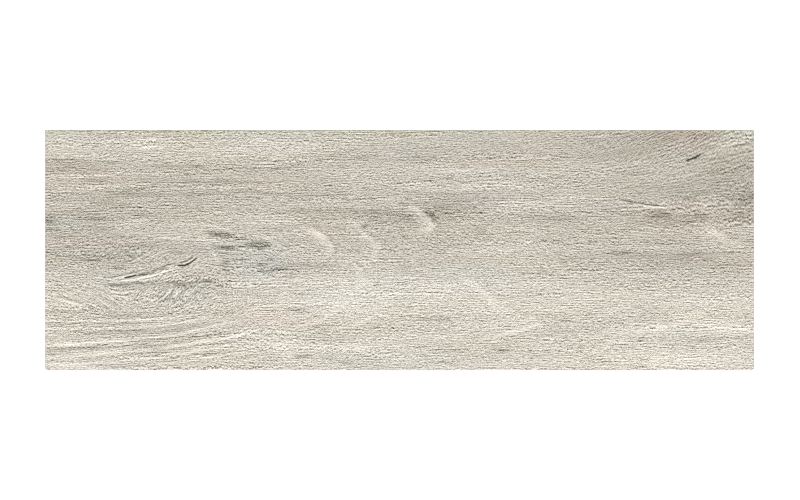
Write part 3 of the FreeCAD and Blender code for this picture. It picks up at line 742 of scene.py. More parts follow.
# Cracks that are open in the glaze: dark at the bottom, and deeper than the rest of the relief
CRACKS = (
    Stroke(1.7, 0.58, ((-233, -23.6), (-228, -22.6), (-223, -21.3))),
    Stroke(2.0, 0.56, ((-187.5, -13.4), (-182, -13.1), (-177, -10.8))),
    Stroke(1.5, 0.50, ((-180, -12.6), (-175.5, -9.7), (-170.8, -6.2))),
    Stroke(2.0, 0.45, ((242.4, 75.6), (245.4, 76.6), (248.4, 77.6), (250.8, 78.5), (253, 79.7), (255, 80.9))),
)

WARM_AREAS = (
    Patch(240, 99, 26, 5, 3.2),
    Patch(248, 90, 34, 9, 1.2),
    Patch(-190, 60, 110, 60, 0.4),
    Patch(-60, 10, 120, 40, 0.35),
    Patch(100, 85, 100, 25, 0.4),
    Patch(270, 15, 60, 30, 0.3),
    Patch(-270, -65, 40, 18, 0.6),
    Patch(-140, -68, 60, 14, 0.7),
    Patch(-20, -72, 40, 12, 0.7),
    Patch(62, -60, 28, 12, 0.7),
    Patch(140, -88, 60, 14, 0.5),
    Patch(255, -88, 50, 16, 0.5),
    Patch(-140, -98, 80, 6, 0.3),
    Patch(-255, 62, 50, 5, 1.0),
    Patch(-230, 34, 40, 7, 0.9),
    Patch(-290, 86, 20, 6, 1.0),
    Patch(-110, -56, 30, 6, 1.2),
    Patch(-180, -70, 50, 7, 0.8),
    Patch(-72, 13, 18, 8, 0.8),
    Patch(15, 24, 20, 8, 0.7),
    Patch(225, 30, 40, 7, 0.6),
    Patch(120, 6, 50, 6, 0.6),
    Patch(-80, -18, 40, 14, 0.6),
    Patch(20, -26, 60, 9, 0.5),
)

COOL_AREAS = (
    Patch(-150, -28, 150, 16, -1.3),
    Patch(40, -30, 110, 18, -1.2),
    Patch(-270, -100, 60, 18, -0.6),
    Patch(-60, -92, 60, 10, -0.7),
    Patch(30, -92, 50, 9, -0.7),
    Patch(-160, 88, 60, 6, -0.8),
    Patch(-225, 66, 28, 10, -0.7),
    Patch(-68, 55, 26, 10, -0.9),
    Patch(10, 78, 34, 12, -0.8),
    Patch(95, 50, 42, 10, -0.8),
    Patch(150, 35, 20, 34, -0.6),
    Patch(225, 62, 48, 14, -0.8),
    Patch(215, -12, 30, 14, -0.7),
    Patch(200, -60, 40, 20, -0.6),
    Patch(-228, 53, 24, 4, -1.4),
    Patch(-272, 41, 18, 4, -1.2),
    Patch(-205, 78, 28, 5, -1.2),
    Patch(-285, 22, 26, 9, -1.0),
    Patch(-214, 8, 12, 14, -0.9),
    Patch(-190, 28, 16, 8, -0.9),
    Patch(-128, 4, 40, 10, -1.0),
    Patch(-22, 0, 12, 12, -0.8),
    Patch(262, 55, 40, 14, -0.9),
    Patch(290, 97, 20, 8, -1.2),
    Patch(-60, 102, 460, 5, -0.9),
    Patch(-60, -78, 200, 26, -0.6),
    Patch(240, -84, 80, 20, -0.6),
    Patch(-30, 2, 40, 12, -0.5),
)

BLUE_AREAS = (
    Patch(-115, -8, 22, 13, 1.0),
    Patch(-150, 3, 16, 5, 0.5),
    Patch(-66, -35, 12, 5, 0.30),
)

# The moss coloured top edge
MOSS_AREAS = (
    Patch(-60, 102.5, 460, 4.6, 1.1),
    Patch(-182, 101, 60, 4.5, 0.4),
    Patch(264, 100, 18, 4, 0.35),
    Patch(-170, -42, 150, 10, -0.28),
    Patch(240, 84, 60, 12, 0.25),
    Patch(46, 34, 16, 10, 0.4),
    Patch(-290, 90, 14, 10, 0.4),
)

# How much steeper to the right the short fibres lie than the grain's lines, as a slope
SLANT_AREAS = (
    Patch(-246, 4, 22, 22, 0.34),
    Patch(-219, -7, 9, 7, -0.80),
    Patch(-215, 20, 16, 8, 0.25),
    Patch(-205, 3, 10, 6, 0.25),
    Patch(-190, -5, 9, 6, 0.30),
    Patch(-173, -10, 9, 9, 0.65),
    Patch(-166, -24, 22, 8, 0.20),
    Patch(-195, -39, 26, 9, 0.60),
    Patch(-190, -40, 8, 6, 0.35),
    Patch(-166, -38, 22, 10, 0.35),
    Patch(-222, -33, 12, 6, 0.40),
    Patch(-266, -43, 14, 9, -0.60),
    Patch(-234, -47, 10, 6, -0.50),
    Patch(-221, -45, 8, 5, -0.45),
    Patch(-283, -42, 14, 6, -0.25),
    Patch(-292, -52, 12, 8, -0.32),
    Patch(-104, 4, 14, 12, -0.38),
    Patch(-96, -7, 8, 6, -0.45),
    Patch(-156, 27, 12, 5, -0.30),
    Patch(-172, 18, 12, 7, -0.15),
    Patch(-68, 10, 9, 8, -0.55),
    Patch(-46, 9, 9, 6, -0.35),
    Patch(-27, 6, 9, 5, -0.35),
    Patch(-27, 18, 7, 5, 0.45),
    Patch(4, 16, 8, 4, 0.30),
    Patch(5, 8, 8, 4, -0.50),
    Patch(27, 26, 7, 5, -0.85),
    Patch(27, 17, 7, 4, 0.60),
    Patch(27, 5, 14, 6, -0.30),
    Patch(72, 17, 10, 5, -0.30),
    Patch(105, 3, 40, 12, -0.28),
    Patch(137, 22, 12, 7, -0.40),
    Patch(-136, -60, 14, 8, 0.25),
    Patch(-136, -48, 14, 6, 0.50),
    Patch(-180, -64, 12, 5, 0.15),
    Patch(-85, -66, 16, 6, 0.32),
    Patch(-70, -55, 8, 5, 0.50),
    Patch(-38, -62, 16, 5, 0.28),
    Patch(-140, 98, 14, 5, 0.45),
    Patch(-178, 98, 12, 4, 0.27),
    Patch(-248, 84, 14, 8, 0.40),
    Patch(-225, 71, 8, 5, 0.50),
    Patch(180, 85, 24, 10, 0.52),
    Patch(206, 80, 14, 7, 0.35),
    Patch(230, 40, 50, 10, -0.24),
    Patch(291, 62, 8, 8, 0.40),
    Patch(268, 66, 10, 8, 0.25),
    Patch(268, 17, 9, 5, -0.45),
    Patch(112, 95, 14, 7, 0.50),
    Patch(70, 86, 30, 6, 0.30),
)

# Where upright lines are woven across the grain
WEAVE_AREAS = (
    Patch(-139, -25, 19, 16, 1.0),
    Patch(-128, -40, 12, 8, 0.6),
    Patch(-70, -30, 10, 10, 0.35),
    Patch(-25, -20, 10, 10, 0.35),
)

# Where the fine fibres stand out more, or less, than over the rest of the print
FIBRE_AREAS = (
    Patch(-220, -50, 90, 50, 0.22),
    Patch(80, 92, 130, 24, -0.16),
    Patch(260, -40, 60, 20, 0.10),
    Patch(245, 62, 70, 44, -0.28),
    Patch(278, 86, 34, 22, -0.20),
    Patch(-285, 94, 20, 12, -0.25),
    Patch(-228, -1, 24, 12, -0.25),
    Patch(-255, -40, 34, 10, -0.22),
)


@dataclass(frozen=True)
class WoodPrint:
    """The print's large figure, its colour, and the relief that is pressed to match it.

    Attributes:
        flow: the lines that the grain follows.
        tone: the lightness of the middle of the print, as a screen value from 0 to 1.
        warm_step: change of red against green for a warm or cool patch of strength 1.
        blue_step: changes of red and blue against green for a bluish patch of strength 1.
        moss_step: changes of red and blue against green for a mossy patch of strength 1.
        arris_back_painted_shade: painted shade on the arris along the back side, as tone against the face beside it.
        arris_front_painted_light: painted light on the arris along the front side, in the same way.
        arris_ends_painted_shade: painted shade on the arris at both ends, in the same way.
        groove: depth of the relief where a dark stroke is strongest, in millimetres.
        crack: depth of an open crack, in millimetres.
    """

    flow: GrainFlow = GrainFlow()
    tone: float = 0.752
    red_offset: float = 0.0260
    blue_offset: float = -0.0520
    warm_step: float = 0.0082
    blue_step: tuple[float, float] = (-0.019, 0.017)
    moss_step: tuple[float, float] = (-0.014, -0.026)
    arris_back_painted_shade: float = -0.215
    arris_front_painted_light: float = 0.085
    arris_ends_painted_shade: float = -0.105
    groove: float = 0.16
    crack: float = 0.35

    def bands(self, x: np.ndarray, line: np.ndarray) -> np.ndarray:
        """Growth bands and wide fibres, from the broadest to the narrowest.

        Args:
            x: places along the tile.
            line: the grain's line at each place.

        Returns:
            Tone to add, as a screen value.
        """
        layers = (
            (Mottle(210.0, 17.0, 11), 0.014),
            (Mottle(90.0, 6.5, 12), 0.015),
            (Mottle(38.0, 3.4, 13), 0.012),
            (Mottle(16.0, 2.0, 14), 0.006),
        )
        return sum(amount * mottle.at(x, line) for mottle, amount in layers)

    def strokes(self, x: np.ndarray, y: np.ndarray) -> np.ndarray:
        """Tone that the placed lines add, as a screen value."""
        line = self.flow.line(x, y)
        jagged = x + 1.6 * Mottle(70.0, 0.95, 31).at(x, line) + 1.2 * Mottle(9.0, 1.6, 32).at(x, line)
        broken = 1.0 + 0.5 * Mottle(8.0, 0.9, 33).at(x, line)
        ragged = y + 0.8 * Mottle(11.0, 1.5, 35).at(x, y)
        tone = summed(PALE_RINGS + RING_SHADOWS, jagged, y) + summed(DARK_LINES + PALE_LINES, x, y) * broken
        tone = tone + summed(TONE_BANDS, x, ragged) * (0.5 + 0.5 * broken)
        worn = 0.9 + 0.6 * Mottle(3.2, 1.4, 34).at(x, y)
        return tone + summed(KNOT_LINES, x, y) * worn - 0.72 * summed(CRACKS, x, y)

    def figure(self, x: np.ndarray, y: np.ndarray) -> np.ndarray:
        """The print at each place, before its fine fibres.

        Args:
            x: places along the tile.
            y: places across the tile.

        Returns:
            Three columns: tone, red against green, and blue against green.
        """
        line = self.flow.line(x, y)
        tone = self.tone + summed(DARK_AREAS + LIGHT_AREAS, x, y)
        tone = tone + self.lower_third(y) + self.bands(x, line) + self.strokes(x, y)
        blue = summed(BLUE_AREAS, x, y)
        moss = summed(MOSS_AREAS, x, y)
        warm = summed(WARM_AREAS + COOL_AREAS, x, y) + 0.8 * Mottle(60.0, 7.0, 21).at(x, line)
        red_side = self.red_offset + self.warm_step * warm
        red_side = red_side + self.blue_step[0] * blue + self.moss_step[0] * moss
        blue_side = self.blue_offset + 0.008 * Mottle(60.0, 8.0, 22).at(x, line)
        blue_side = blue_side + self.blue_step[1] * blue + self.moss_step[1] * moss
        return np.column_stack((tone, red_side, blue_side))

    def lower_third(self, y: np.ndarray) -> np.ndarray:
        """The front third of the tile is a little lighter than the rest."""
        return 0.062 * (1.0 - smooth_step(-30.0, -17.0, y)) - 0.005

    def guides(self, x: np.ndarray, y: np.ndarray) -> np.ndarray:
        """What the fine fibres follow at each place.

        Args:
            x: places along the tile.
            y: places across the tile.

        Returns:
            Three columns: the grain's line, how much steeper the short fibres are, and how
            strongly all fibres stand out.
        """
        knot = np.clip(np.abs(summed(KNOT_LINES, x, y)) / 0.25, 0.0, 1.0)
        rings = np.clip(summed(PALE_RINGS, x, y) / 0.08, 0.0, 1.0)
        dark = np.clip(-summed(DARK_LINES, x, y) / 0.3, 0.0, 1.0)
        strength = 1.0 + summed(FIBRE_AREAS, x, y)
        strength = strength * (1.0 - 0.75 * knot) * (1.0 - 0.40 * rings) * (1.0 + 0.6 * dark)
        return np.column_stack((self.flow.line(x, y), summed(SLANT_AREAS, x, y), strength))

    def painted_arris_shading(self, x: np.ndarray, y: np.ndarray, half: tuple[float, float]) -> np.ndarray:
        """Painted shade and painted light on the ground arris: its tone against the face beside it, darker along the
        back and at the ends, and lighter along the front.

        Args:
            x: places along the tile.
            y: places across the tile.
            half: from the middle of the tile to its ends and to its sides.

        Returns:
            Tone to add, as a screen value.
        """
        back, front = y > half[1] - 1.0, y < 1.0 - half[1]
        ends = np.abs(x) > half[0] - 1.0
        return np.select((back, front, ends), (self.arris_back_painted_shade, self.arris_front_painted_light, self.arris_ends_painted_shade), 0.0)

    def weave(self, x: np.ndarray, y: np.ndarray) -> np.ndarray:
        """How strongly upright lines cross the grain at each place, from 0 to 1."""
        return np.clip(summed(WEAVE_AREAS, x, y), 0.0, 1.0)

    def depth(self, x: np.ndarray, y: np.ndarray) -> np.ndarray:
        """How deep the pressed face lies below its highest place, in millimetres."""
        line = self.flow.line(x, y)
        dark = -self.bands(x, line) / 0.05
        level = 0.10 + 0.05 * np.clip(dark, -1.5, 1.5)
        level += self.groove * np.clip(-self.strokes(x, y) / 0.3, -0.4, 1.0)
        level += self.crack * summed(CRACKS, x, y)
        return np.clip(level, 0.01, 0.55)


# The tile's mesh


@dataclass(frozen=True)
class EdgeRing:
    """One outline of the tile's side: how far in from the face's outline, how high, and dress."""

    inset: float
    height: float
    slot: Slot


@dataclass(frozen=True)
class FineArea:
    """A part of the face with a finer mesh, so that its small figures stay sharp.

    Attributes:
        low: its left front corner, in millimetres.
        high: its right back corner, in millimetres.
        cuts: how often an edge of the mesh is cut there, along and across the tile.
    """

    low: tuple[float, float]
    high: tuple[float, float]
    cuts: tuple[int, int]

    def refine(self, bm: bmesh.types.BMesh) -> None:
        """Cuts the edges of the mesh in this area."""
        for axis, cuts in enumerate(self.cuts):
            verts = {vert for vert in bm.verts
                     if self.low[0] < vert.co.x < self.high[0] and self.low[1] < vert.co.y < self.high[1]}
            edges = {edge for vert in verts for edge in vert.link_edges
                     if edge.other_vert(vert) in verts
                     and abs(edge.verts[0].co[axis] - edge.verts[1].co[axis]) > 0.1}
            if cuts:
                bmesh.ops.subdivide_edges(bm, edges=list(edges), cuts=cuts, use_grid_fill=True)


@dataclass
class PlankTile:
    """The fired tile: a printed face in low relief, ground edges, a pressed foot and a waffle.

    Sizes are in millimetres.

    Attributes:
        length: the face, along the grain.
        width: the face, across the grain.
        thickness: the face to the bed plane.
        arris: ground bevel round the face.
        columns: cells of the face's mesh along the tile.
        rows: cells of the face's mesh across the tile.
        back_band: plain band between the foot's edge and the waffle's cells.
        cells: cells of the waffle along and across the tile.
        rib: flat top of a rib between two cells.
        cell_depth: depth of a cell.
        cell_draft: slope of a cell's wall from upright, in degrees.
        rim_round: softening of the ribs' edges.
        fine_areas: where the face's mesh is finer.
        wood: the print, and the relief that is pressed to match it.
    """

    length: float
    width: float
    thickness: float
    arris: float = 0.6
    columns: int = 260
    rows: int = 288
    foot_height: float = 2.4
    foot_inset: float = 1.0
    back_band: float = 9.0
    cells: tuple[int, int] = (24, 8)
    rib: float = 3.0
    cell_depth: float = 0.8
    cell_draft: float = 35.0
    rim_round: float = 0.16
    fine_areas: tuple[FineArea, ...] = (
        FineArea((-249.0, -30.0), (-167.0, -4.0), (3, 1)),
        FineArea((-222.0, -46.0), (-167.0, -30.5), (2, 0)),
        FineArea((-164.0, -20.0), (-91.0, 17.0), (0, 1)),
        FineArea((228.0, 70.0), (268.0, 84.0), (3, 0)),
        FineArea((238.0, 74.0), (259.0, 82.5), (0, 1)),
        FineArea((184.0, 35.0), (230.0, 44.0), (1, 1)),
    )
    wood: WoodPrint = WoodPrint()

    @classmethod
    def from_frame(cls) -> "PlankTile":
        """The tile at the size of its solid."""
        low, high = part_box(NODE)
        return cls(*((high - low) / MM))

    def rings(self) -> tuple[EdgeRing, ...]:
        """The outlines of the side from the face down to the bed plane."""
        top, foot = self.thickness, self.foot_height
        return (
            EdgeRing(self.arris * 0.82, top - 0.07, Slot.PRINT),
            EdgeRing(0.07, top - self.arris * 0.86, Slot.PRINT),
            EdgeRing(0.0, top - self.arris - 0.12, Slot.GROUND_EDGE),
            EdgeRing(0.0, foot + 0.15, Slot.GROUND_EDGE),
            EdgeRing(0.08, foot - 0.15, Slot.PRESSED_FOOT),
            EdgeRing(self.foot_inset - 0.06, 0.14, Slot.PRESSED_FOOT),
            EdgeRing(self.foot_inset + 0.12, 0.0, Slot.PRESSED_FOOT),
        )

    def add_face(self, bm: bmesh.types.BMesh) -> None:
        """Adds the face as a fine grid, as wide as the face inside its arris."""
        bmesh.ops.create_grid(bm, x_segments=self.columns, y_segments=self.rows, size=0.5)
        inside = (self.length - 2 * self.arris, self.width - 2 * self.arris, 1.0)
        bmesh.ops.scale(bm, vec=inside, verts=bm.verts)
        bmesh.ops.translate(bm, vec=(0, 0, self.thickness), verts=bm.verts)
        for area in self.fine_areas:
            area.refine(bm)
        for face in bm.faces:
            face.material_index = Slot.PRINT.value

    def add_sides(self, bm: bmesh.types.BMesh) -> None:
        """Extrudes the face's outline down to the bed plane."""
        outline = [edge for edge in bm.edges if edge.is_boundary]
        inset = self.arris
        for ring in self.rings():
            made = bmesh.ops.extrude_edge_only(bm, edges=outline)["geom"]
            verts = [item for item in made if isinstance(item, bmesh.types.BMVert)]
            for face in (item for item in made if isinstance(item, bmesh.types.BMFace)):
                face.material_index = ring.slot.value
            half = (self.length / 2 - inset, self.width / 2 - inset)
            for vert in verts:
                for axis in (0, 1):
                    if abs(vert.co[axis]) > half[axis] - 1e-3:
                        vert.co[axis] = math.copysign(half[axis] + inset - ring.inset, vert.co[axis])
                vert.co.z = ring.height
            inset = ring.inset
            outline = [item for item in made if isinstance(item, bmesh.types.BMEdge)
                       and item.is_boundary]

    def add_waffle(self, bm: bmesh.types.BMesh) -> None:
        """Adds the sheet of drafted cells that keys the adhesive."""
        draft = self.cell_depth * math.tan(math.radians(self.cell_draft))
        band = 2 * (self.foot_inset + self.back_band) - self.rib
        made = bmesh.ops.create_grid(bm, x_segments=self.cells[0], y_segments=self.cells[1], size=0.5)
        verts = made["verts"]
        bmesh.ops.scale(bm, vec=(self.length - band, self.width - band, 1.0), verts=verts)
        faces = list({face for vert in verts for face in vert.link_faces})
        bmesh.ops.reverse_faces(bm, faces=faces)
        ribs = bmesh.ops.inset_individual(bm, faces=faces, thickness=self.rib / 2)["faces"]
        rims = list({edge for face in faces for edge in face.edges})
        walls = bmesh.ops.inset_individual(bm, faces=faces, thickness=draft, depth=-self.cell_depth)
        for face in faces + ribs + walls["faces"]:
            face.material_index = Slot.BACK.value
        bmesh.ops.bevel(bm, geom=rims, offset=self.rim_round, offset_type="OFFSET", segments=1,
                        profile=0.5, affect="EDGES", material=-1)

    def add_band(self, bm: bmesh.types.BMesh) -> None:
        """Fills the plain band of the back, between the foot's outline and the waffle's."""
        outlines = [edge for edge in bm.edges if edge.is_boundary]
        band = bmesh.ops.triangle_fill(bm, edges=outlines, use_beauty=True)["geom"]
        for face in (item for item in band if isinstance(item, bmesh.types.BMFace)):
            face.material_index = Slot.BACK.value

    def build(self) -> bpy.types.Object:
        """Makes the tile's mesh, presses its relief and lays out its map.

        Returns:
            The object, in metres, with its place in its mesh.
        """
        bm = bmesh.new()
        self.add_face(bm)
        self.add_sides(bm)
        self.add_waffle(bm)
        self.add_band(bm)
        bmesh.ops.recalc_face_normals(bm, faces=bm.faces)
        for face in bm.faces:
            face.smooth = True
        for edge in bm.edges:
            edge.smooth = edge.calc_face_angle(math.pi) < math.radians(30)
        open_edges = sum(not edge.is_manifold for edge in bm.edges)
        mesh = bpy.data.meshes.new("tile_dressed")
        bm.to_mesh(mesh)
        bm.free()
        self.press_print(mesh)
        TileMap(self).lay_out(mesh)
        log.info("tile: %d faces, %d open edges", len(mesh.polygons), open_edges)
        tile = bpy.data.objects.new("tile_dressed", mesh)
        bpy.context.scene.collection.objects.link(tile)
        return tile

    def press_print(self, mesh: bpy.types.Mesh) -> None:
        """Presses the relief, stores the print at each vertex, and turns the mesh into metres."""
        places = np.empty(len(mesh.vertices) * 3)
        mesh.vertices.foreach_get("co", places)
        places = places.reshape(-1, 3)
        x, y = places[:, 0].copy(), places[:, 1].copy()
        face = places[:, 2] > self.thickness - 1e-4
        from_edge = np.minimum(self.length / 2 - np.abs(x), self.width / 2 - np.abs(y)) - self.arris
        fade = 0.35 + 0.65 * smooth_step(0.0, 2.5, from_edge[face])
        places[face, 2] -= fade * self.wood.depth(x[face], y[face])
        figure = self.wood.figure(x, y)
        half = (self.length / 2, self.width / 2)
        # The arris gets painted shade along the back and at the ends, and painted light along the front
        figure[~face, 0] += self.wood.painted_arris_shading(x[~face], y[~face], half)
        for name, values in (("figure", figure), ("guides", self.wood.guides(x, y))):
            mesh.attributes.new(name, "FLOAT_VECTOR", "POINT").data.foreach_set("vector", values.ravel())
        mesh.attributes.new("weave", "FLOAT", "POINT").data.foreach_set("value", self.wood.weave(x, y))
        mesh.vertices.foreach_set("co", (places * MM).ravel())
        mesh.update()


@dataclass(frozen=True)
class TileMap:
    """Lays the tile's faces out flat on one square, with the printed face in most of it.

    Attributes:
        tile: the tile whose mesh is laid out.
        face_rows: lowest and highest v of the printed face.
        back_rows: lowest and highest v of the back.
        side_rows: lowest v of the front, back, left and right side in turn.
        side_height: how much of v a side takes.
    """

    tile: PlankTile
    face_rows: tuple[float, float] = (0.335, 0.997)
    back_rows: tuple[float, float] = (0.003, 0.245)
    side_rows: tuple[float, ...] = (0.255, 0.277, 0.299, 0.299)
    side_height: float = 0.016

    def lay_out(self, mesh: bpy.types.Mesh) -> None:
        """Stores the map of the mesh, whose places are in metres."""
        corners = np.empty(len(mesh.loops), dtype=np.int32)
        mesh.loops.foreach_get("vertex_index", corners)
        places = np.empty(len(mesh.vertices) * 3)
        mesh.vertices.foreach_get("co", places)
        places = places.reshape(-1, 3)[corners] / MM
        totals = np.empty(len(mesh.polygons), dtype=np.int32)
        mesh.polygons.foreach_get("loop_total", totals)
        normals = np.empty(len(mesh.polygons) * 3)
        mesh.polygons.foreach_get("normal", normals)
        centres = np.empty(len(mesh.polygons) * 3)
        mesh.polygons.foreach_get("center", centres)
        normals = np.repeat(normals.reshape(-1, 3), totals, axis=0)
        centres = np.repeat(centres.reshape(-1, 3), totals, axis=0) / MM
        along = 0.004 + 0.992 * (places[:, 0] / self.tile.length + 0.5)
        across = places[:, 1] / self.tile.width + 0.5
        low, high = self.face_rows
        u, v = along.copy(), low + (high - low) * across
        back = (centres[:, 2] < 1.0) & (normals[:, 2] < -0.6)
        low, high = self.back_rows
        v[back] = (low + (high - low) * across)[back]
        rim = self.tile.arris + 0.02
        outer = (np.abs(centres[:, 0]) > self.tile.length / 2 - rim) | (
            np.abs(centres[:, 1]) > self.tile.width / 2 - rim)
        side = outer & ~back | (np.abs(normals[:, 2]) < 0.5) & (centres[:, 2] > 0.9)
        side |= (centres[:, 2] < 2.6) & ~back & (centres[:, 2] > 0.05) & (
            (np.abs(centres[:, 0]) > self.tile.length / 2 - 2) | (np.abs(centres[:, 1]) > self.tile.width / 2 - 2))
        down = (self.tile.thickness + 1.0 - places[:, 2]) / (self.tile.thickness + 2.0)
        short = 0.30 * across
        facing_x = np.abs(normals[:, 0]) > np.abs(normals[:, 1])
        for chosen, row, start, spread in (
            (side & ~facing_x & (normals[:, 1] < 0), self.side_rows[0], 0.0, along),
            (side & ~facing_x & (normals[:, 1] > 0), self.side_rows[1], 0.0, along),
            (side & facing_x & (normals[:, 0] < 0), self.side_rows[2], 0.02, short),
            (side & facing_x & (normals[:, 0] > 0), self.side_rows[3], 0.52, short),
        ):
            u[chosen] = (start + spread)[chosen]
            v[chosen] = (row + self.side_height * (1.0 - down))[chosen]
        uv_map = mesh.uv_layers.new(name="OFBake")
        uv_map.data.foreach_set("uv", np.column_stack((u, v)).ravel())


# The finishes


class NodePainter:
    """Makes a material's nodes with few words."""

    def __init__(self, name: str) -> None:
        """Starts a material with a Principled shader."""
        self.material = bpy.data.materials.new(name)
        self.material.use_nodes = True
        self.nodes = self.material.node_tree.nodes
        self.links = self.material.node_tree.links
        self.shader = self.nodes["Principled BSDF"]
        self.column = 0

    def add(self, kind: str, **settings: object) -> bpy.types.Node:
        """Adds a node with these settings."""
        node = self.nodes.new(kind)
        node.location = (-260.0 * (self.column % 12) - 300.0, -260.0 * (self.column // 12))
        self.column += 1
        for key, value in settings.items():
            setattr(node, key, value)
        return node

    def feed(self, socket: bpy.types.NodeSocket, value: object) -> None:
        """Links the value to the socket if it is a socket too, and sets it if it is a number."""
        if isinstance(value, bpy.types.NodeSocket):
            self.links.new(value, socket)
        else:
            socket.default_value = value

    def math(self, operation: str, *values: object, clamp: bool = False) -> bpy.types.NodeSocket:
        """The result of one step of arithmetic."""
        node = self.add("ShaderNodeMath", operation=operation, use_clamp=clamp)
        for socket, value in zip(node.inputs, values):
            self.feed(socket, value)
        return node.outputs[0]

    def vector(self, x: object, y: object, z: object) -> bpy.types.NodeSocket:
        """A vector of three values."""
        node = self.add("ShaderNodeCombineXYZ")
        for socket, value in zip(node.inputs, (x, y, z)):
            self.feed(socket, value)
        return node.outputs[0]

    def parts(self, vector: bpy.types.NodeSocket) -> tuple[bpy.types.NodeSocket, ...]:
        """The three values of a vector."""
        node = self.add("ShaderNodeSeparateXYZ")
        self.feed(node.inputs[0], vector)
        return tuple(node.outputs)

    def place(self) -> tuple[bpy.types.NodeSocket, ...]:
        """The place on the object, in millimetres."""
        scaled = self.add("ShaderNodeVectorMath", operation="SCALE")
        self.feed(scaled.inputs[0], self.add("ShaderNodeTexCoord").outputs["Object"])
        self.feed(scaled.inputs["Scale"], 1.0 / MM)
        return self.parts(scaled.outputs[0])

    def noise(self, vector: bpy.types.NodeSocket, detail: float = 0.0, roughness: float = 0.5,
              flat: bool = False) -> bpy.types.NodeSocket:
        """Soft noise round 0, whose patches are about one unit of the vector wide."""
        node = self.add("ShaderNodeTexNoise", noise_dimensions="2D" if flat else "3D")
        for name, value in (("Vector", vector), ("Scale", 1.0), ("Detail", detail),
                            ("Roughness", roughness)):
            self.feed(node.inputs[name], value)
        return self.math("SUBTRACT", node.outputs["Fac"], 0.5)

    def spread(self, value: object, low: float, high: float, to_low: float,
               to_high: float) -> bpy.types.NodeSocket:
        """The value moved from one range to another with soft ends."""
        node = self.add("ShaderNodeMapRange", interpolation_type="SMOOTHSTEP")
        for socket, number in zip(node.inputs, (value, low, high, to_low, to_high)):
            self.feed(socket, number)
        return node.outputs[0]

    def screen_colour(self, red: object, green: object, blue: object) -> None:
        """Gives the shader a colour whose parts are screen values from 0 to 1."""
        colour = self.add("ShaderNodeCombineColor")
        for socket, value in zip(colour.inputs, (red, green, blue)):
            self.feed(socket, value)
        gamma = self.add("ShaderNodeGamma")
        self.feed(gamma.inputs["Color"], colour.outputs[0])
        self.feed(gamma.inputs["Gamma"], 2.2)
        self.feed(self.shader.inputs["Base Color"], gamma.outputs[0])

    def bump(self, height: bpy.types.NodeSocket, depth: float, strength: float) -> None:
        """Gives the shader a fine relief, whose height is 1 for this many metres."""
        node = self.add("ShaderNodeBump")
        self.feed(node.inputs["Height"], height)
        self.feed(node.inputs["Distance"], depth)
        self.feed(node.inputs["Strength"], strength)
        self.feed(self.shader.inputs["Normal"], node.outputs[0])


@dataclass(frozen=True)
class FibreLayer:
    """One size of fibre in the print.

    Attributes:
        along: typical length of a fibre, in millimetres.
        across: typical width of a bundle of fibres, in millimetres.
        amount: how much it lightens or darkens the tone at most, as a screen value.
        seed: picks one pattern out of many.
        spacing: from one fibre of a bundle to the next, in millimetres, or 0 for none.
        edge: how soft a fibre's edges are, against the noise that it is cut from.
    """

    along: float
    across: float
    amount: float
    seed: float
    spacing: float = 0.0
    edge: float = 0.16

    def paint(self, painter: NodePainter, x: bpy.types.NodeSocket, line: bpy.types.NodeSocket,
              wander: bpy.types.NodeSocket) -> bpy.types.NodeSocket:
        """The tone that this layer adds.

        Args:
            painter: the material's nodes.
            x: places along the tile.
            line: the grain's line at each place.
            wander: the same with small bends, which the single fibres follow.

        Returns:
            The tone as a screen value, round 0.
        """
        place = painter.vector(
            painter.math("MULTIPLY_ADD", x, 1.0 / self.along, self.seed),
            painter.math("MULTIPLY_ADD", line, 1.0 / self.across, -self.seed), 0.0)
        noise = painter.noise(place, flat=True)
        if self.spacing:
            turns = painter.math("MULTIPLY_ADD", wander, math.tau / self.spacing, self.seed)
            noise = painter.math("MULTIPLY", noise, painter.math("SINE", turns))
        return painter.spread(noise, -self.edge, self.edge, -self.amount, self.amount)


@dataclass(frozen=True)
class SlantedFibres:
    """Short fibres that lie at a slant of their own against the grain's lines.

    The face is divided into upright strips, and the fibres of a strip are sheared round its
    middle. Two sets of strips lie half a strip apart, and one fades in where the other ends.

    Attributes:
        layers: the fibres, from long to short.
        strip: width of a strip, in millimetres.
    """

    layers: tuple[FibreLayer, ...]
    strip: float = 18.0

    def paint(self, painter: NodePainter, x: bpy.types.NodeSocket, wander: bpy.types.NodeSocket,
              slant: bpy.types.NodeSocket) -> bpy.types.NodeSocket:
        """The tone that these fibres add.

        Args:
            painter: the material's nodes.
            x: places along the tile.
            wander: the grain's line with small bends at each place.
            slant: how much steeper than that line the fibres are.

        Returns:
            The tone as a screen value, round 0.
        """
        total = 0.0
        for shift in (0.0, 0.5):
            part = painter.math("FRACT", painter.math("MULTIPLY_ADD", x, 1.0 / self.strip, shift))
            part = painter.math("SUBTRACT", part, 0.5)
            lever = painter.math("MULTIPLY", painter.math("MULTIPLY", part, self.strip), slant)
            line = painter.math("SUBTRACT", wander, lever)
            moved = painter.math("ADD", x, 900.0 * shift)
            fibres = 0.0
            for layer in self.layers:
                fibres = painter.math("ADD", layer.paint(painter, moved, line, line), fibres)
            window = painter.math("COSINE", painter.math("MULTIPLY", part, math.pi))
            total = painter.math("MULTIPLY_ADD", fibres, window, total)
        return total


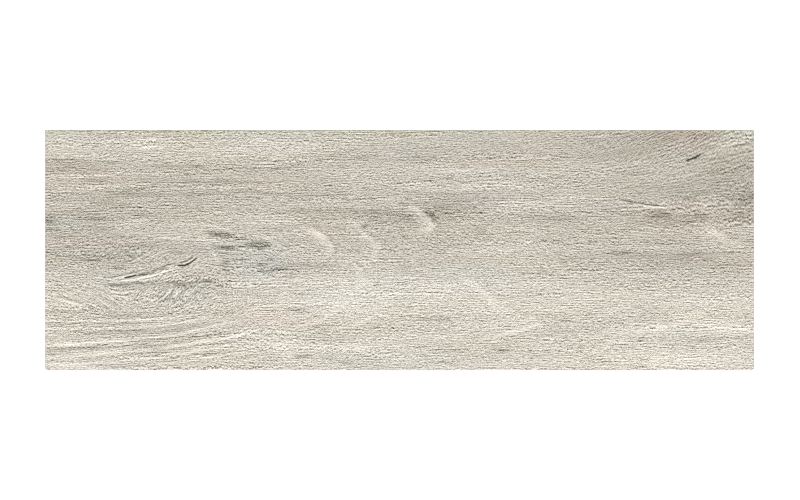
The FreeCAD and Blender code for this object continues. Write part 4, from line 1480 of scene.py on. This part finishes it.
@dataclass(frozen=True)
class PrintFinish:
    """The printed and glazed face: oak figure in greige under a matt glaze.

    Attributes:
        long_fibres: the fibres that follow the grain's lines, from long to short.
        short_fibres: the fibres that may lie at a slant.
        woven_fibres: the fibres that stand upright where the print looks woven.
    """

    long_fibres: tuple[FibreLayer, ...] = (
        FibreLayer(30.0, 1.5, 0.012, 411.5),
        FibreLayer(7.0, 1.2, 0.020, 637.5),
        FibreLayer(80.0, 4.6, 0.036, 131.2, 1.95),
        FibreLayer(38.0, 4.2, 0.057, 177.7, 1.80),
        FibreLayer(18.0, 4.0, 0.082, 213.9, 1.90),
    )
    short_fibres: SlantedFibres = SlantedFibres((
        FibreLayer(2.0, 1.2, 0.020, 719.5),
        FibreLayer(1.1, 4.0, 0.045, 843.1),
        FibreLayer(9.0, 4.2, 0.081, 255.4, 1.78),
        FibreLayer(4.5, 4.0, 0.090, 281.3, 1.90),
        FibreLayer(2.4, 3.4, 0.100, 333.8, 1.98),
        FibreLayer(0.90, 1.9, 0.206, 912.4, 1.72),
    ))
    woven_fibres: tuple[FibreLayer, ...] = (
        FibreLayer(9.0, 2.4, 0.050, 455.4, 2.10),
        FibreLayer(4.0, 2.2, 0.065, 481.3, 2.25),
    )

    def material(self) -> bpy.types.Material:
        """Makes the material."""
        painter = NodePainter("printed_matt_glaze")
        x, y, _ = painter.place()
        # The figure attribute holds the print, and on the arris it also holds painted shade and painted light
        figure = painter.add("ShaderNodeAttribute", attribute_name="figure").outputs["Vector"]
        tone, red_side, blue_side = painter.parts(figure)
        guides = painter.add("ShaderNodeAttribute", attribute_name="guides").outputs["Vector"]
        line, slant, strength = painter.parts(guides)
        weave = painter.add("ShaderNodeAttribute", attribute_name="weave").outputs["Fac"]
        bends = painter.noise(painter.vector(
            painter.math("DIVIDE", x, 110.0), painter.math("DIVIDE", line, 12.0), 2.5), 1.0)
        wander = painter.math("MULTIPLY_ADD", bends, 5.0, line)
        fibres = 0.0
        for layer in self.long_fibres:
            fibres = painter.math("ADD", layer.paint(painter, x, line, wander), fibres)
        straight = painter.spread(painter.math("ABSOLUTE", slant), 0.05, 0.40, 1.0, 0.25)
        fibres = painter.math("MULTIPLY", fibres, straight)
        fibres = painter.math("ADD", self.short_fibres.paint(painter, x, wander, slant), fibres)
        upright = 0.0
        for layer in self.woven_fibres:
            upright = painter.math("ADD", layer.paint(painter, y, x, x), upright)
        fibres = painter.math("MULTIPLY_ADD", upright, weave, fibres)
        fibres = painter.math("MULTIPLY", fibres, strength)
        fibres = painter.math("MULTIPLY", fibres, painter.math("SUBTRACT", 1.0, fibres))
        tone = painter.math("ADD", tone, fibres)
        painter.screen_colour(painter.math("ADD", tone, red_side), tone,
                              painter.math("ADD", tone, blue_side))
        cloud = painter.noise(painter.vector(
            painter.math("DIVIDE", x, 60.0), painter.math("DIVIDE", line, 9.0), 8.5), 3.0)
        rough = painter.math("ADD", painter.math("MULTIPLY", cloud, 0.16), 0.60)
        painter.feed(painter.shader.inputs["Roughness"], painter.math("SUBTRACT", rough,
                     painter.math("MULTIPLY", fibres, 0.5)))
        painter.feed(painter.shader.inputs["Specular IOR Level"], 0.25)
        painter.bump(fibres, 0.00012, 0.5)
        return painter.material


class BodyPart(Enum):
    """The places where the fired body shows without glaze."""

    GROUND = "ground_body"
    FOOT = "pressed_body"
    BACK = "fired_back"


@dataclass(frozen=True)
class BodyFinish:
    """The bare porcelain body: a pale dense biscuit with specks, ground or as it was pressed.

    Attributes:
        part: which bare surface this is.
        tone: lightness as a screen value.
        roughness: how dull it is.
    """

    part: BodyPart
    tone: float
    roughness: float

    def material(self) -> bpy.types.Material:
        """Makes the material."""
        painter = NodePainter(self.part.value)
        x, y, z = painter.place()
        grains = painter.noise(painter.vector(
            painter.math("DIVIDE", x, 0.7), painter.math("DIVIDE", y, 0.7),
            painter.math("DIVIDE", z, 0.7)), 2.0, 0.7)
        cloud = painter.noise(painter.vector(
            painter.math("DIVIDE", x, 34.0), painter.math("DIVIDE", y, 34.0), z), 4.0, 0.6)
        tone = painter.math("ADD", painter.math("MULTIPLY", grains, 0.09), self.tone)
        tone = painter.math("ADD", painter.math("MULTIPLY", cloud, 0.10), tone)
        specks = painter.spread(painter.noise(painter.vector(
            painter.math("DIVIDE", x, 1.5), painter.math("DIVIDE", y, 1.5),
            painter.math("DIVIDE", z, 1.5)), 1.0), 0.15, 0.22, 0.0, -0.16)
        tone = painter.math("ADD", tone, specks)
        height = grains
        if self.part is BodyPart.GROUND:
            wheel = painter.noise(painter.vector(
                painter.math("DIVIDE", x, 16.0), painter.math("DIVIDE", y, 16.0),
                painter.math("DIVIDE", z, 0.28)), 2.0, 0.6)
            tone = painter.math("ADD", painter.math("MULTIPLY", wheel, 0.10), tone)
            height = painter.math("ADD", wheel, height)
        if self.part is BodyPart.BACK:
            powder = painter.spread(z, 0.02, 0.5, 0.05, 0.0)
            patchy = painter.spread(cloud, -0.12, 0.10, 0.25, 1.0)
            tone = painter.math("ADD", painter.math("MULTIPLY", powder, patchy), tone)
        painter.screen_colour(painter.math("ADD", tone, 0.022), tone,
                              painter.math("SUBTRACT", tone, 0.058))
        painter.feed(painter.shader.inputs["Roughness"], painter.math(
            "ADD", painter.math("MULTIPLY", grains, 0.12), self.roughness))
        painter.feed(painter.shader.inputs["Specular IOR Level"], 0.3)
        painter.bump(height, 0.0001, 0.6)
        return painter.material


@dataclass(frozen=True)
class TileDress:
    """Gives the tile's mesh its finishes, in the order of Slot."""

    face: PrintFinish = PrintFinish()
    ground: BodyFinish = BodyFinish(BodyPart.GROUND, 0.74, 0.62)
    foot: BodyFinish = BodyFinish(BodyPart.FOOT, 0.715, 0.80)
    back: BodyFinish = BodyFinish(BodyPart.BACK, 0.70, 0.85)

    def dress(self, tile: bpy.types.Object) -> None:
        """Fills the tile's material slots."""
        for finish in (self.face, self.ground, self.foot, self.back):
            tile.data.materials.append(finish.material())


# The stage, the light and the camera


@dataclass(frozen=True)
class Stage:
    """A pale floor that the tile lies on, soft light from above, and a white room.

    Attributes:
        reach: the floor's size, in metres.
        floor_gap: how far the floor lies below the tile's back, in metres.
        lamp_level: the light that comes from the lamp, against all of it.
        lean: how far the lamp leans to the left and to the back, in degrees.
    """

    reach: float = 12.0
    floor_gap: float = 0.00002
    lamp_level: float = 0.60
    lean: tuple[float, float] = (4.0, 3.0)

    def add_floor(self) -> None:
        """Adds the floor, a hair below the tile's back."""
        bm = bmesh.new()
        bmesh.ops.create_grid(bm, x_segments=1, y_segments=1, size=self.reach / 2)
        bmesh.ops.translate(bm, vec=(0, 0, -self.floor_gap), verts=bm.verts)
        mesh = bpy.data.meshes.new("floor")
        bm.to_mesh(mesh)
        bm.free()
        floor = bpy.data.objects.new("floor", mesh)
        bpy.context.scene.collection.objects.link(floor)
        painter = NodePainter("white_floor")
        painter.feed(painter.shader.inputs["Base Color"], (0.86, 0.86, 0.86, 1.0))
        painter.feed(painter.shader.inputs["Roughness"], 0.9)
        painter.feed(painter.shader.inputs["Specular IOR Level"], 0.0)
        painter.feed(painter.shader.inputs["Emission Color"], (1.0, 1.0, 1.0, 1.0))
        seen = painter.add("ShaderNodeLightPath").outputs["Is Camera Ray"]
        painter.feed(painter.shader.inputs["Emission Strength"], painter.math("MULTIPLY", seen, 0.30))
        mesh.materials.append(painter.material)

    def add_light(self) -> None:
        """Adds the lamp and the room, which together light a level surface at a level of 1."""
        lamp = bpy.data.lights.new("overhead_lamp", "SUN")
        lamp.energy = math.pi * self.lamp_level
        lamp.angle = math.radians(14.0)
        holder = bpy.data.objects.new("overhead_lamp", lamp)
        holder.rotation_euler = (math.radians(-self.lean[1]), math.radians(-self.lean[0]), 0.0)
        bpy.context.scene.collection.objects.link(holder)
        world = bpy.data.worlds.new("white_room")
        world.use_nodes = True
        nodes, links = world.node_tree.nodes, world.node_tree.links
        background = nodes["Background"]
        background.inputs["Color"].default_value = (1.0, 1.0, 1.0, 1.0)
        path = nodes.new("ShaderNodeLightPath")
        seen = path.outputs["Is Camera Ray"]
        for name in ("Is Glossy Ray", "Is Transmission Ray"):
            either = nodes.new("ShaderNodeMath")
            either.operation = "MAXIMUM"
            links.new(seen, either.inputs[0])
            links.new(path.outputs[name], either.inputs[1])
            seen = either.outputs[0]
        level = nodes.new("ShaderNodeMapRange")
        level.inputs["To Min"].default_value = 1.0 - self.lamp_level
        level.inputs["To Max"].default_value = 1.0
        links.new(seen, level.inputs["Value"])
        links.new(level.outputs[0], background.inputs["Strength"])
        bpy.context.scene.world = world


@dataclass(frozen=True)
class OverheadCamera:
    """The camera straight above the tile.

    Attributes:
        lens: focal length, in millimetres.
        distance: from the face to the camera, in metres.
        aside: how far right of the tile's middle it stands, in metres.
    """

    lens: float = 100.0
    distance: float = 1.8806
    aside: float = 0.00042

    def add(self) -> None:
        """Makes the camera and gives it to the scene."""
        data = bpy.data.cameras.new("camera")
        data.lens = self.lens
        data.sensor_width = 36.0
        data.clip_end = 50.0
        camera = bpy.data.objects.new("camera", data)
        camera.location = (self.aside, 0.0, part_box(NODE)[1].z + self.distance)
        bpy.context.scene.collection.objects.link(camera)
        bpy.context.scene.camera = camera


def main() -> None:
    """Builds the tile, dresses it, and sets the stage, the light and the camera."""
    scene = bpy.context.scene
    scene.view_settings.view_transform = "Standard"
    # The finest fibres are no wider than a pixel, and a smoothed picture would lose them
    scene.cycles.use_denoising = False
    OverheadCamera().add()
    stage = Stage()
    stage.add_floor()
    stage.add_light()
    tile = PlankTile.from_frame().build()
    TileDress().dress(tile)
    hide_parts(NODE)
    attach(tile, "root")
    log.info("dressed %s", tile.name)


if __name__ == "__main__":
    logging.basicConfig(level=logging.INFO, format="%(message)s")
    main()
